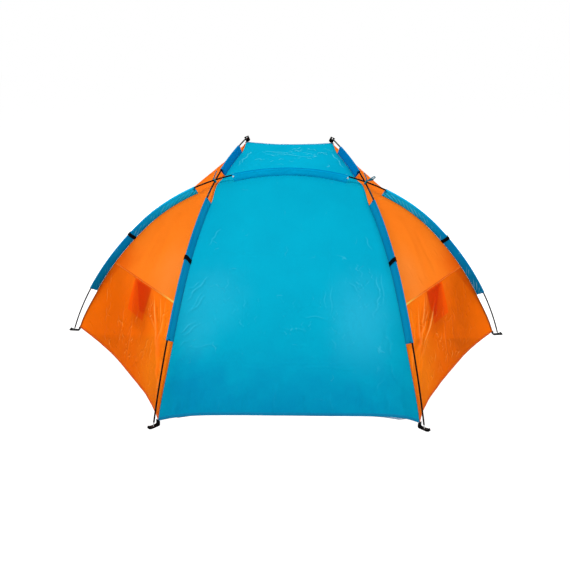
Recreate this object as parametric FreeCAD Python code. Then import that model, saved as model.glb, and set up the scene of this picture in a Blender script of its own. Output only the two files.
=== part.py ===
"""Pole-frame beach shelter.

Three bent glass-fibre poles hold a sewn fabric skin. The arch pole spans the two front feet and leans
to the rear. Two roof poles rise from the rear feet, pass under the arch and carry the roof to its two
tips. The skin hangs inside the poles from sleeves. The open front faces -Y and Z is up.
"""
import FreeCAD, Part
import math
import os

Vec = FreeCAD.Vector

# ---------------------------------------------------------------- driving sizes (mm and degrees)
SPAN = 2700.0              # between the two front feet
REAR_WIDTH = 1326.0        # between the two rear feet
FOOT_SETBACK = 1200.0      # front feet ahead of the rear feet
ARCH_RISE = 1190.0         # height of the arch within its leaning plane
ARCH_LEAN = 19.5           # lean of that plane towards the rear
ROOF_REACH = 1350.0        # roof tips ahead of the rear feet
ROOF_WIDTH = 512.0         # between the two roof tips
TIP_LIFT = 84.0            # roof tips above the top of the arch
END_BEND = 0.70            # a rod bends least at its free ends: share of an even arc's turn kept there
CROSSING_BEND = 0.30       # how far the roof pole's slope at the crossing keeps the slope behind it

POLE_OD = 8.5
POLE_ID = 5.2
ARCH_SEGMENTS = 6
ROOF_SEGMENTS = 3
JOINT_GAP = 0.4            # between the ends of two pole segments
FERRULE_WALL = 0.7
FERRULE_LENGTH = 80.0
FERRULE_CLEARANCE = 0.06   # radial, ferrule on pole
PIN_OD = 4.6
PIN_LENGTH = 20.0          # bare pin below the end of the pole
PLUG_LENGTH = 24.0         # pin's plug inside the pole
PLUG_CLEARANCE = 0.1       # radial
PIN_TIP_HEIGHT = 0.8       # pin tips above the ground
CROSSING_GAP = 0.5         # between the two poles where they cross

CLOTH = 0.8
SLEEVE_WALL = 0.7
SLEEVE_SLACK = 0.6         # radial, sleeve around the ferrules
SLEEVE_WIDTH = 40.0        # pole axis to the seam
SLEEVE_EDGE = 2.0          # thickness of the sewn edge
SEAM_ALLOWANCE = 8.0       # flat sewn strip at that edge
ROOF_SLEEVE_TILT = 65.0    # turn of the roof poles' sleeves from level towards the inside
ARCH_SLEEVE_TILT = 90.0    # the arch sleeves hang straight in from the arch
SEAM_GAP = 0.9             # from a seam to the cut edges on each side of it
CORNER_RISE = 30.0         # seams leave the fabric corners beside this length of the pole
REAR_CORNER_REACH = 30.0   # fabric corner to the pin that its webbing holds
FRONT_CORNER_REACH = 37.0
CORNER_HEIGHT = 22.0
REAR_STRAP_HEADING = 45.0  # webbing at the rear feet, turned outwards from straight back
FRONT_STRAP_HEADING = 97.0
TIP_INSET = 20.0           # fabric corner at the roof's tip, in from the pole
CROSSING_INSET = 28.0      # fabric corner at the crossing, in from the poles
ARCH_SLEEVE_START = 380.0  # lower mouth of the side sleeve, along the pole from the foot
ARCH_SLEEVE_END = 1375.0
TOP_SLEEVE_HALF = 320.0    # top sleeve, each way from the middle of the arch
REAR_SLEEVE_START = 425.0
REAR_SLEEVE_END = 1245.0
ROOF_SLEEVE_START = 1495.0
ROOF_SLEEVE_END = 1797.0
WING_SEAM_HEIGHT = 510.0   # level seam across the side wings
HEM_HEIGHT = 2.0           # bottom hems above the ground
REAR_HEM_BOW = 98.0        # rear hem cut in at its middle
WING_HEM_BOW = 64.0
REAR_HEM_FLATNESS = 6      # higher: the hem runs flatter between its corners
WING_HEM_FLATNESS = 3
FRONT_EDGE_CUT = 0.97      # front edge of a wing, cut from straight back towards the arch's seam
FRONT_EDGE_EASE = 0.82
FRONT_EDGE_FULLNESS = 34.0 # how far that edge stands out, up and sideways, above its middle
FRONT_WING_FROM = 0.1      # its lower end, as a share of the way up
ROOF_EDGE_BOW = 22.0
ROOF_EDGE_DROP = 0.0
FLOOR_GAP = 10.0           # floor sheet inside the hems
FLOOR_CORNER_GAP = 90.0    # along the hems from the fabric corners to the floor's cut-off corners
FLOOR_FRONT_BOW = 40.0

STRAP_WIDTH = 30.0
STRAP = 2.0                # thickness of one layer of webbing
STRAP_BEND = 7.0
EYELET_BORE = 7.2          # takes the pole's pin
EYELET_FLANGE = 11.0
EYELET_LIP = 0.6
EYELET_WALL = 0.5
EYELET_CLEARANCE = 0.1
TAIL_HINGE = 7.2           # fold line of a peg loop, out from the pin
TAIL_GAP = 0.4
TAIL_LENGTH = 22.0
PEG_BORE = 6.0
PEG_FLANGE = 11.0
PEG_SETBACK = 7.2          # centre of the peg eyelet from the fold line
TIP_STRAP_BEYOND = 9.0
TIP_PIN_OUT = 5.0          # roof pole's pin beyond its eyelet

GUY_LOOP_WIDTH = 24.0
GUY_LOOP_WALL = 1.2
GUY_LOOP_SLACK = 0.3
ARCH_LOOP_AT = 1050.0      # from the middle of the arch, along the pole
REAR_LOOP_AT = 859.0       # from the rear foot, along the pole

TIE_WIDTH = 6.0
TIE_WALL = 0.9
TIE_SLACK = 1.3
TIE_KNOT = 9.0
TIE_END_LENGTH = 44.0      # free end of the tape, standing up from the knot
TIE_BOW_LENGTH = 46.0      # loop of the bow, out from the knot
TIE_BOW_WIDTH = 14.0
TIE_BOW_RISE = 25.0        # its angle above level

POCKET_WIDTH = 200.0
POCKET_DEPTH = 200.0
POCKET_SPACE = 14.0        # room between its two layers
POCKET_AT = 0.53           # centre of the pocket, share of the wing's width from the roof pole
POCKET_STANDOFF = 3.0
POCKET_DROP = 6.0          # its mouth below the seam it hangs from

# ---------------------------------------------------------------- sizes that follow
TIP_OVERHANG = 12.0
TAIL_OVERHANG = 20.0
REAR_Y = (ROOF_REACH + TIP_OVERHANG - TAIL_OVERHANG) / 2     # puts the origin under the middle
FERRULE_ID = POLE_OD + 2 * FERRULE_CLEARANCE
FERRULE_OD = FERRULE_ID + 2 * FERRULE_WALL
SLEEVE_BORE = FERRULE_OD / 2 + SLEEVE_SLACK
SLEEVE_RADIUS = SLEEVE_BORE + SLEEVE_WALL
STRAP_BOTTOM = EYELET_LIP
FORWARD, UP, RIGHT = Vec(0, -1, 0), Vec(0, 0, 1), Vec(1, 0, 0)


# ---------------------------------------------------------------- lines of straight runs and arcs
class Line:
    """A planar line of tangent runs and arcs, measured by the length run along it.

    inside is +1 where the shelter's inside lies to the left of the line, and -1 to its right.
    """

    def __init__(self, origin, across, up, start, heading, runs, inside=1):
        self.origin, self.across, self.up, self.inside = origin, across, up, inside
        self.normal = across.cross(up)
        self.pieces = []
        travelled, (x, y) = 0.0, start
        for length, bend in runs:
            self.pieces.append((travelled, length, bend, x, y, heading))
            x, y, heading = self.advance(x, y, heading, bend, length)
            travelled += length
        self.length = travelled

    @staticmethod
    def advance(x, y, heading, bend, length):
        if abs(bend) < 1e-9:
            return x + length * math.cos(heading), y + length * math.sin(heading), heading
        end = heading + bend * length
        x += (math.sin(end) - math.sin(heading)) / bend
        y -= (math.cos(end) - math.cos(heading)) / bend
        return x, y, end

    def frame(self, s):
        """Point, direction of travel and inward direction at a length s."""
        piece = [p for p in self.pieces if p[0] <= s + 1e-6][-1]
        x, y, heading = self.advance(piece[3], piece[4], piece[5], piece[2], s - piece[0])
        point = self.origin + self.across * x + self.up * y
        travel = self.across * math.cos(heading) + self.up * math.sin(heading)
        inward = (self.up * math.cos(heading) - self.across * math.sin(heading)) * self.inside
        return point, travel, inward

    def beside(self, s, tilt):
        """Direction out from the line, turned by tilt from its plane's normal to the inward one."""
        inward = self.frame(s)[2]
        level = self.normal * self.level_sign
        return level * math.cos(math.radians(tilt)) + inward * math.sin(math.radians(tilt))

    level_sign = 1

    def sweep(self, section, first, last):
        """The solid that a section leaves when it is carried from one length to another."""
        solids = []
        for start, length, bend, *_ in self.pieces:
            a, b = max(first, start), min(last, start + length)
            if b - a < 1e-6:
                continue
            point, travel, inward = self.frame(a)
            face = section(point, travel, inward, self.normal)
            if abs(bend) < 1e-9:
                solids.append(face.extrude(travel * (b - a)))
            else:
                centre = point + inward * self.inside / bend
                solids.append(face.revolve(centre, self.normal, math.degrees(bend * (b - a))))
        return joined(solids)


def block(corner, along, side, length, width, height):
    """A box that starts at a corner and runs along one direction, to one side, and up from both."""
    up = along.cross(side)
    box = Part.makeBox(length, width, height)
    box.Placement = FreeCAD.Placement(FreeCAD.Matrix(
        along.x, side.x, up.x, corner.x, along.y, side.y, up.y, corner.y, along.z, side.z, up.z, corner.z,
        0, 0, 0, 1))
    return box


def joined(solids):
    whole = solids[0]
    if len(solids) > 1:
        whole = whole.fuse(solids[1:]).removeSplitter()
    return whole.Solids[0] if len(whole.Solids) == 1 else whole


def arc_to(start, heading, end):
    """Length and bend of the arc that leaves start on a heading and reaches end."""
    dx, dy = end[0] - start[0], end[1] - start[1]
    half_turn = math.atan2(dy, dx) - heading
    half_turn = math.atan2(math.sin(half_turn), math.cos(half_turn))
    chord = math.hypot(dx, dy)
    if abs(half_turn) < 1e-9:
        return chord, 0.0
    length = chord * half_turn / math.sin(half_turn)
    return length, 2 * half_turn / length


def two_arcs(start, heading, end, final):
    """Two tangent arcs from one point and heading to another."""
    vx, vy = end[0] - start[0], end[1] - start[1]
    sx, sy = math.cos(heading) + math.cos(final), math.sin(heading) + math.sin(final)
    a = 2 * (math.cos(heading - final) - 1)
    b = -2 * (vx * sx + vy * sy)
    c = vx * vx + vy * vy
    reach = 2 * c / (-b + math.sqrt(b * b - 4 * a * c))
    middle = ((start[0] + end[0] + reach * (math.cos(heading) - math.cos(final))) / 2,
              (start[1] + end[1] + reach * (math.sin(heading) - math.sin(final))) / 2)
    first = arc_to(start, heading, middle)
    return [first, arc_to(middle, heading + first[0] * first[1], end)]


def bent_line(points, across, up, radius):
    """A line through two straight runs with one rounded bend, from three points in one plane."""
    origin, vertex, end = points
    legs = [(vertex - origin), (end - vertex)]
    angles = [math.atan2(leg.dot(up), leg.dot(across)) for leg in legs]
    turn = math.atan2(math.sin(angles[1] - angles[0]), math.cos(angles[1] - angles[0]))
    cut = radius * math.tan(abs(turn) / 2)
    runs = [(legs[0].Length - cut, 0.0), (radius * abs(turn), math.copysign(1 / radius, turn)),
            (legs[1].Length - cut, 0.0)]
    return Line(origin, across, up, (0.0, 0.0), angles[0], runs)


# ---------------------------------------------------------------- sections
def tube(outer, inner):
    def section(point, travel, inward, normal):
        disc = Part.Face(Part.Wire(Part.makeCircle(outer / 2, point, travel)))
        if not inner:
            return disc
        return disc.cut(Part.Face(Part.Wire(Part.makeCircle(inner / 2, point, travel)))).Faces[0]
    return section


def teardrop_face(point, flat, side, radius, reach, half_edge):
    """A disc drawn out along flat to a thin edge: a cloth tube around a pole, sewn at that edge."""
    angle = math.atan2(half_edge, reach) + math.acos(radius / math.hypot(reach, half_edge))

    def at(x, y):
        return point + flat * x + side * y

    high = at(radius * math.cos(angle), radius * math.sin(angle))
    low = at(radius * math.cos(angle), -radius * math.sin(angle))
    edge_high, edge_low = at(reach, half_edge), at(reach, -half_edge)
    edges = [Part.Arc(high, at(-radius, 0), low).toShape(), Part.makeLine(low, edge_low),
             Part.makeLine(edge_low, edge_high), Part.makeLine(edge_high, high)]
    return Part.Face(Part.Wire(edges))


def sleeve_section(line, tilt):
    """Section of a hollow sleeve, with its flat part turned by tilt."""
    def section(point, travel, inward, normal):
        turn = math.radians(tilt)
        flat = normal * line.level_sign * math.cos(turn) + inward * math.sin(turn)
        side = travel.cross(flat)
        outer = teardrop_face(point, flat, side, SLEEVE_RADIUS, SLEEVE_WIDTH, SLEEVE_EDGE / 2)
        inner = teardrop_face(point, flat, side, SLEEVE_BORE, SLEEVE_WIDTH - SEAM_ALLOWANCE, SLEEVE_EDGE / 8)
        return outer.cut(inner).Faces[0]
    return section


def loop_section(line, tilt):
    """Section of a webbing loop around a sleeve, open where it is caught in the seam."""
    def section(point, travel, inward, normal):
        turn = math.radians(tilt)
        flat = normal * line.level_sign * math.cos(turn) + inward * math.sin(turn)
        side = travel.cross(flat)
        hole = SLEEVE_RADIUS + GUY_LOOP_SLACK
        half_edge = SLEEVE_EDGE / 2 + GUY_LOOP_SLACK
        wall = GUY_LOOP_WALL
        outer = teardrop_face(point, flat, side, hole + wall, SLEEVE_WIDTH, half_edge + wall)
        inner = teardrop_face(point, flat, side, hole, SLEEVE_WIDTH + GUY_LOOP_WALL, half_edge)
        return outer.cut(inner).Faces[0]
    return section


def band(width, thickness):
    """A flat strip: wide along the line's normal, thin along the inward direction."""
    def section(point, travel, inward, normal):
        a, b = normal * (width / 2), inward * (thickness / 2)
        corners = [point + a + b, point + a - b, point - a - b, point - a + b]
        return Part.Face(Part.makePolygon(corners + corners[:1]))
    return section


# ---------------------------------------------------------------- the pole lines
def arch_line():
    """The arch pole's line, from the right front foot over to the left one."""
    lean = math.radians(ARCH_LEAN)
    up = UP * math.cos(lean) - FORWARD * math.sin(lean)
    origin = Vec(0, REAR_Y - FOOT_SETBACK, PIN_TIP_HEIGHT)
    chord = math.atan2(ARCH_RISE, SPAN / 2)
    heading = math.pi - chord * (1 + END_BEND)
    half = two_arcs((SPAN / 2, 0.0), heading, (0.0, ARCH_RISE), math.pi)
    return Line(origin, RIGHT, up, (SPAN / 2, 0.0), heading, half + half[::-1])


ARCH = arch_line()
ARCH_TOP = ARCH.length / 2


def roof_line():
    """The right roof pole's line, from the rear foot under the arch to the roof's tip.

    Returns the line, its length at the crossing and the arch's length at the crossing.
    """
    foot = Vec(REAR_WIDTH / 2, REAR_Y, PIN_TIP_HEIGHT)
    apex_height = ARCH.frame(ARCH_TOP)[0].z
    tip = Vec(ROOF_WIDTH / 2, REAR_Y - ROOF_REACH, apex_height + TIP_LIFT)
    across = Vec(tip.x - foot.x, tip.y - foot.y, 0)
    run = across.Length
    across.normalize()
    wall = across.cross(UP)
    low, high = 0.0, ARCH_TOP
    outside = (ARCH.frame(low)[0] - foot).dot(wall)
    for _ in range(60):                              # where the arch pierces the roof pole's plane
        middle = (low + high) / 2
        if (ARCH.frame(middle)[0] - foot).dot(wall) * outside > 0:
            low = middle
        else:
            high = middle
    over, along_arch, _ = ARCH.frame(low)
    above = ((over - foot).dot(across), over.z - foot.z)
    back, ahead = math.atan2(above[1], above[0]), math.atan2(tip.z - over.z, run - above[0])
    slope = ahead + CROSSING_BEND * (back - ahead)
    travel = across * math.cos(slope) + UP * math.sin(slope)
    inward = across * math.sin(slope) - UP * math.cos(slope)
    square = along_arch.cross(travel)
    drop = (POLE_OD + CROSSING_GAP) * square.Length / abs(inward.dot(square))
    under = (above[0] + drop * math.sin(slope), above[1] - drop * math.cos(slope))
    back, ahead = math.atan2(under[1], under[0]), math.atan2(tip.z - foot.z - under[1], run - under[0])
    rear = two_arcs((0.0, 0.0), back + END_BEND * (back - slope), under, slope)
    front = two_arcs(under, slope, (run, tip.z - foot.z), ahead - END_BEND * (slope - ahead))
    line = Line(foot, across, UP, (0.0, 0.0), back + END_BEND * (back - slope), rear + front, inside=-1)
    return line, rear[0][0] + rear[1][0], low


ROOF, ROOF_CROSSING, ARCH_CROSSING = roof_line()
ROOF.level_sign = 1 if ROOF.normal.x < 0 else -1      # level part of the sleeve points to the middle
TIP_CORNER = ROOF.length - CORNER_RISE


# ---------------------------------------------------------------- seam lines of the right-hand side
def seam(line, s, tilt, inset):
    return line.frame(s)[0] + line.beside(s, tilt) * inset


def eased(t):
    t = min(max(t, 0.0), 1.0)
    return t * t * (3 - 2 * t)


def stepped(s, stops):
    """Value at s of an even curve through (length, value) stops, level at each stop."""
    for (a, low), (b, high) in zip(stops, stops[1:]):
        if s <= b:
            return low + (high - low) * eased((s - a) / (b - a))
    return stops[-1][1]


SEAM_INSET = SLEEVE_WIDTH + SEAM_GAP
CROSSING_CORNER = (seam(ARCH, ARCH_CROSSING, ARCH_SLEEVE_TILT, CROSSING_INSET)
                   + seam(ROOF, ROOF_CROSSING, ROOF_SLEEVE_TILT, CROSSING_INSET)) * 0.5


def compass(heading):
    """Level direction turned outwards from straight back, on the right-hand side."""
    return RIGHT * math.sin(math.radians(heading)) - FORWARD * math.cos(math.radians(heading))


def ground_pin_point(line):
    """Where the pin stands in its eyelet, at the webbing's level."""
    point, travel, _ = line.frame(0.0)
    rise = STRAP_BOTTOM + STRAP / 2 - point.z
    return point + travel * (rise / travel.z)


def fabric_corner(line, heading, reach):
    pin = ground_pin_point(line)
    return Vec(pin.x, pin.y, CORNER_HEIGHT) - compass(heading) * reach


REAR_CORNER = fabric_corner(ROOF, REAR_STRAP_HEADING, REAR_CORNER_REACH)
FRONT_CORNER = fabric_corner(ARCH, FRONT_STRAP_HEADING, FRONT_CORNER_REACH)


def seam_line(line, tilt, corner, crossing, stops):
    """Seam beside a pole: as far in as the stops say, and drawn into the corner and the crossing."""
    pulls = [(stops[0][0], corner), (crossing, CROSSING_CORNER)]
    mouths = [s for s, _ in stops]

    def curve(s):
        inset = stepped(s, stops)
        point = seam(line, s, tilt, inset)
        for at, target in pulls:
            where = mouths.index(at)
            reach = (mouths[where + 1] - at) if s >= at else (at - mouths[where - 1])
            share = eased(1 - abs(s - at) / reach)
            point = point + (target - seam(line, at, tilt, stops[where][1])) * share
        return point
    return curve


roof_seam = seam_line(ROOF, ROOF_SLEEVE_TILT, REAR_CORNER, ROOF_CROSSING, [
    (CORNER_RISE, TIP_INSET), (REAR_SLEEVE_START, SEAM_INSET), (REAR_SLEEVE_END, SEAM_INSET),
    (ROOF_CROSSING, CROSSING_INSET), (ROOF_SLEEVE_START, SEAM_INSET), (ROOF_SLEEVE_END, SEAM_INSET),
    (TIP_CORNER, TIP_INSET)])
arch_seam = seam_line(ARCH, ARCH_SLEEVE_TILT, FRONT_CORNER, ARCH_CROSSING, [
    (CORNER_RISE, TIP_INSET), (ARCH_SLEEVE_START, SEAM_INSET), (ARCH_SLEEVE_END, SEAM_INSET),
    (ARCH_CROSSING, CROSSING_INSET), (ARCH_TOP - TOP_SLEEVE_HALF, SEAM_INSET), (ARCH_TOP, SEAM_INSET)])
TIP = roof_seam(TIP_CORNER)


def flipped(point):
    return Vec(-point.x, point.y, point.z)


def between(curve, first, last):
    """A curve restated over 0..1."""
    return lambda t: curve(first + (last - first) * t)


def straight(a, b):
    return lambda t: a + (b - a) * t


def bowed(a, b, bow):
    """A shallow curve from a to b that stands off by the vector bow at its middle."""
    return lambda t: a + (b - a) * t + bow * (4 * t * (1 - t))


def length_at_height(curve, first, last, height):
    """Length along a rising seam at which it reaches a height."""
    for _ in range(50):
        middle = (first + last) / 2
        if curve(middle).z < height:
            first = middle
        else:
            last = middle
    return first


def grounded(a, b, bow, flatness):
    """A bottom hem: from corner to corner, cut in by bow, and down on the ground between them."""
    def curve(t):
        point = a + (b - a) * t + bow * (1 - abs(2 * t - 1) ** flatness)
        return Vec(point.x, point.y, HEM_HEIGHT + (point.z - HEM_HEIGHT) * (2 * t - 1) ** 6)
    return curve


def rear_hem():
    return grounded(flipped(REAR_CORNER), REAR_CORNER, FORWARD * REAR_HEM_BOW, REAR_HEM_FLATNESS)


def wing_hem():
    way = FRONT_CORNER - REAR_CORNER
    inward = way.cross(UP)
    inward.normalize()
    return grounded(REAR_CORNER, FRONT_CORNER, inward * WING_HEM_BOW, WING_HEM_FLATNESS)


def front_edge():
    """Free front edge of the right wing, from the foot corner up to the roof's tip."""
    chord, behind = straight(FRONT_CORNER, TIP), between(arch_seam, CORNER_RISE, ARCH_CROSSING)
    full = (RIGHT * 0.8 + UP * 0.6) * FRONT_EDGE_FULLNESS

    def edge(t):
        point = chord(t) + (behind(t) - chord(t)) * (FRONT_EDGE_CUT * (1 - t) ** FRONT_EDGE_EASE)
        return point + full * math.sin(math.pi * max(0.0, 2 * t - 1))
    return edge


# ---------------------------------------------------------------- fabric panels
def patch(bottom, top, left, right, rows, columns):
    """A grid of points filling four edge curves, kept a seam gap in from every edge."""
    def spread(count, length, margin):
        inset = min(margin / max(length, 1.0), 0.2)
        return [inset + (1 - 2 * inset) * i / count for i in range(count + 1)]

    grid = []
    middle_height = (top(0.5) - bottom(0.5)).Length
    for v in spread(rows, middle_height, SEAM_GAP):
        row = []
        for u in spread(columns, (right(v) - left(v)).Length, SEAM_GAP):
            across = left(v) * (1 - u) + right(v) * u
            along = bottom(u) * (1 - v) + top(u) * v
            low = bottom(0) * (1 - u) + bottom(1) * u
            high = top(0) * (1 - u) + top(1) * u
            row.append(across + along - low * (1 - v) - high * v)
        grid.append(row)
    return grid


def cloth(grid):
    """A thin closed sheet over a grid of points."""
    rows, columns = len(grid), len(grid[0])

    def normal_at(j, i):
        along = grid[min(j + 1, rows - 1)][i] - grid[max(j - 1, 0)][i]
        across = grid[j][min(i + 1, columns - 1)] - grid[j][max(i - 1, 0)]
        out = across.cross(along)
        out.normalize()
        return out

    faces = []
    for side in (-0.5, 0.5):
        points = [[grid[j][i] + normal_at(j, i) * (CLOTH * side) for i in range(columns)]
                  for j in range(rows)]
        surface = Part.BSplineSurface()
        surface.interpolate(points)
        faces.append(surface.toShape())
    walls = [Part.makeRuledSurface(a, b) for a, b in zip(faces[0].Edges, faces[1].Edges)]
    shell = Part.makeShell(faces + walls)
    shell.sewShape()
    solid = Part.Solid(Part.Shell(shell.Faces))
    if solid.Volume < 0:
        solid.reverse()
    return solid


def rear_panel():
    right = between(roof_seam, CORNER_RISE, ROOF_CROSSING)
    top = between(arch_seam, ARCH_CROSSING, ARCH_TOP)

    def over(u):
        return flipped(top(2 * u)) if u < 0.5 else top(2 * (1 - u))

    return cloth(patch(rear_hem(), over, lambda v: flipped(right(v)), right, 16, 16))


def roof_panel():
    right = between(roof_seam, ROOF_CROSSING, TIP_CORNER)
    arch = between(arch_seam, ARCH_CROSSING, ARCH_TOP)
    front = bowed(flipped(TIP), TIP, UP * -ROOF_EDGE_DROP - FORWARD * ROOF_EDGE_BOW)

    def over(u):
        return flipped(arch(2 * u)) if u < 0.5 else arch(2 * (1 - u))

    return cloth(patch(over, front, lambda v: flipped(right(v)), right, 10, 12))


ROOF_AT_SEAM = length_at_height(roof_seam, CORNER_RISE, ROOF_CROSSING, WING_SEAM_HEIGHT)
ARCH_AT_SEAM = length_at_height(arch_seam, CORNER_RISE, ARCH_CROSSING, WING_SEAM_HEIGHT)
WING_SEAM = straight(roof_seam(ROOF_AT_SEAM), arch_seam(ARCH_AT_SEAM))


def wing_lower():
    rear = between(roof_seam, CORNER_RISE, ROOF_AT_SEAM)
    front = between(arch_seam, CORNER_RISE, ARCH_AT_SEAM)
    return cloth(patch(wing_hem(), WING_SEAM, rear, front, 12, 12))


def wing_upper():
    top_height = CROSSING_CORNER.z - CROSSING_INSET
    rear_end = length_at_height(roof_seam, CORNER_RISE, ROOF_CROSSING, top_height)
    front_end = length_at_height(arch_seam, CORNER_RISE, ARCH_CROSSING, top_height)
    rear = between(roof_seam, ROOF_AT_SEAM, rear_end)
    front = between(arch_seam, ARCH_AT_SEAM, front_end)
    return cloth(patch(WING_SEAM, straight(rear(1), front(1)), rear, front, 10, 6))


def front_wing():
    """Wing ahead of the arch: a long triangle from the foot up to the roof seam."""
    arch = between(between(arch_seam, CORNER_RISE, ARCH_CROSSING), FRONT_WING_FROM, 1.0)
    edge = between(front_edge(), FRONT_WING_FROM, 1.0)
    top = between(roof_seam, ROOF_CROSSING, TIP_CORNER)
    return cloth(patch(straight(arch(0), edge(0)), top, arch, edge, 16, 10))


def floor_sheet():
    """Groundsheet: its edges follow the hems inside them, with the corners cut off."""
    def inset_hem(hem, way):
        span = FLOOR_CORNER_GAP / (hem(1) - hem(0)).Length
        points = [between(hem, span, 1 - span)(i / 16) + way * FLOOR_GAP for i in range(17)]
        return [Vec(p.x, p.y, 0) for p in points]

    wing_way = (FRONT_CORNER - REAR_CORNER).cross(UP)
    wing_way.normalize()
    rear, wing = inset_hem(rear_hem(), FORWARD), inset_hem(wing_hem(), wing_way)
    left_wing = [flipped(p) for p in reversed(wing)]
    front_middle = Vec(0, wing[-1].y + FLOOR_FRONT_BOW, 0)

    def spline(points):
        curve = Part.BSplineCurve()
        curve.interpolate(points)
        return curve.toShape()

    edges = [spline(rear), Part.makeLine(rear[-1], wing[0]), spline(wing),
             Part.Arc(wing[-1], front_middle, left_wing[0]).toShape(), spline(left_wing),
             Part.makeLine(left_wing[-1], rear[0])]
    return Part.Face(Part.Wire(edges)).extrude(UP * CLOTH)


# ---------------------------------------------------------------- poles, ferrules and pins
def pole_segments(line, count):
    """The equal lengths that a pole comes apart into, from one pin to the other."""
    first, last = PIN_LENGTH, line.length - PIN_LENGTH
    step = (last - first) / count
    bare = tube(POLE_OD, POLE_ID)
    solids = []
    for i in range(count):
        start = first + i * step + (JOINT_GAP / 2 if i else 0)
        end = first + (i + 1) * step - (JOINT_GAP / 2 if i < count - 1 else 0)
        solids.append(line.sweep(bare, start, end))
    return solids


def ferrules(line, count):
    first, last = PIN_LENGTH, line.length - PIN_LENGTH
    step = (last - first) / count
    half = FERRULE_LENGTH / 2
    ring = tube(FERRULE_OD, FERRULE_ID)
    return [line.sweep(ring, first + i * step - half, first + i * step + half) for i in range(1, count)]


def end_pins(line):
    """A steel pin with a rounded tip at each end of a pole, plugged into its bore."""
    shank, plug = tube(PIN_OD, 0), tube(POLE_ID - 2 * PLUG_CLEARANCE, 0)
    solids = []
    for end, way in ((0.0, 1), (line.length, -1)):
        marks = sorted(end + way * s for s in (PIN_OD / 2, PIN_LENGTH - JOINT_GAP))
        plug_marks = sorted(end + way * s for s in (PIN_LENGTH - JOINT_GAP, PIN_LENGTH + PLUG_LENGTH))
        dome = Part.makeSphere(PIN_OD / 2, line.frame(end + way * PIN_OD / 2)[0])
        solids.append(joined([dome, line.sweep(shank, *marks), line.sweep(plug, *plug_marks)]))
    return solids


# ---------------------------------------------------------------- webbing at the feet and tips
def eyelet(centre, axis, bore, flange, thickness):
    """A two-lipped metal eyelet through webbing; centre is the middle of the webbing."""
    half = thickness / 2
    wall = bore / 2 + EYELET_WALL
    barrel = Part.makeCylinder(wall, thickness, centre - axis * half, axis)
    lips = [Part.makeCylinder(flange / 2, EYELET_LIP, centre + axis * half, axis),
            Part.makeCylinder(flange / 2, EYELET_LIP, centre - axis * (half + EYELET_LIP), axis)]
    base = centre - axis * (half + 2 * EYELET_LIP)
    hole = Part.makeCylinder(bore / 2, thickness + 4 * EYELET_LIP, base, axis)
    return joined([barrel] + lips).cut(hole).Solids[0]


def eyelet_hole(centre, axis, bore):
    radius = bore / 2 + EYELET_WALL + EYELET_CLEARANCE
    return Part.makeCylinder(radius, 4 * STRAP_BEND, centre - axis * (2 * STRAP_BEND), axis)


def corner_strap(line, corner, out):
    """Webbing from a fabric corner down to the ground and out under the pin. Also its eyelet."""
    pin = ground_pin_point(line)
    foot = Vec(corner.x, corner.y, pin.z)
    end = pin + out * (TAIL_HINGE - TAIL_GAP / 2)
    path = bent_line([Vec(corner.x, corner.y, corner.z - SEAM_GAP), foot, end], out, UP, STRAP_BEND)
    strap = path.sweep(band(STRAP_WIDTH, STRAP), 0.0, path.length).cut(eyelet_hole(pin, UP, EYELET_BORE))
    return joined(strap.Solids), eyelet(pin, UP, EYELET_BORE, EYELET_FLANGE, STRAP)


def peg_loop(line, out):
    """Doubled end of a corner strap, which folds up about the line TAIL_HINGE from the pin."""
    pin = ground_pin_point(line)
    level = STRAP_BOTTOM + STRAP
    fold = Vec(pin.x, pin.y, level) + out * TAIL_HINGE
    side = UP.cross(out)
    start = fold + out * (TAIL_GAP / 2) - side * (STRAP_WIDTH / 2) - UP * STRAP
    slab = block(start, out, side, TAIL_LENGTH, STRAP_WIDTH, 2 * STRAP)
    outer = [e for e in slab.Edges if abs((e.CenterOfMass - start).dot(out) - TAIL_LENGTH) < 1e-6
             and abs((e.Vertexes[0].Point - e.Vertexes[1].Point).z) < 1e-6]
    slab = slab.makeFillet(STRAP * 0.9, outer)
    middle = fold + out * (TAIL_GAP / 2 + PEG_SETBACK)
    loop = slab.cut(eyelet_hole(middle, UP, PEG_BORE)).Solids[0]
    return loop, eyelet(middle, UP, PEG_BORE, PEG_FLANGE, 2 * STRAP), fold, side, middle


def tip_strap():
    """Webbing from the roof's corner to the pin of the right roof pole. Also its eyelet."""
    point, travel, inward = ROOF.frame(ROOF.length)
    pin = point - travel * (TIP_PIN_OUT + STRAP / 2)
    plane_up = (pin - TIP) - travel * (pin - TIP).dot(travel)
    plane_up.normalize()
    vertex = TIP + travel * (pin - TIP).dot(travel)
    end = pin + plane_up * TIP_STRAP_BEYOND
    path = bent_line([TIP + travel * SEAM_GAP, vertex, end], travel, plane_up, STRAP_BEND)
    strap = path.sweep(band(STRAP_WIDTH, STRAP), 0.0, path.length).cut(eyelet_hole(pin, travel, EYELET_BORE))
    return joined(strap.Solids), eyelet(pin, travel, EYELET_BORE, EYELET_FLANGE, STRAP)


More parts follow.
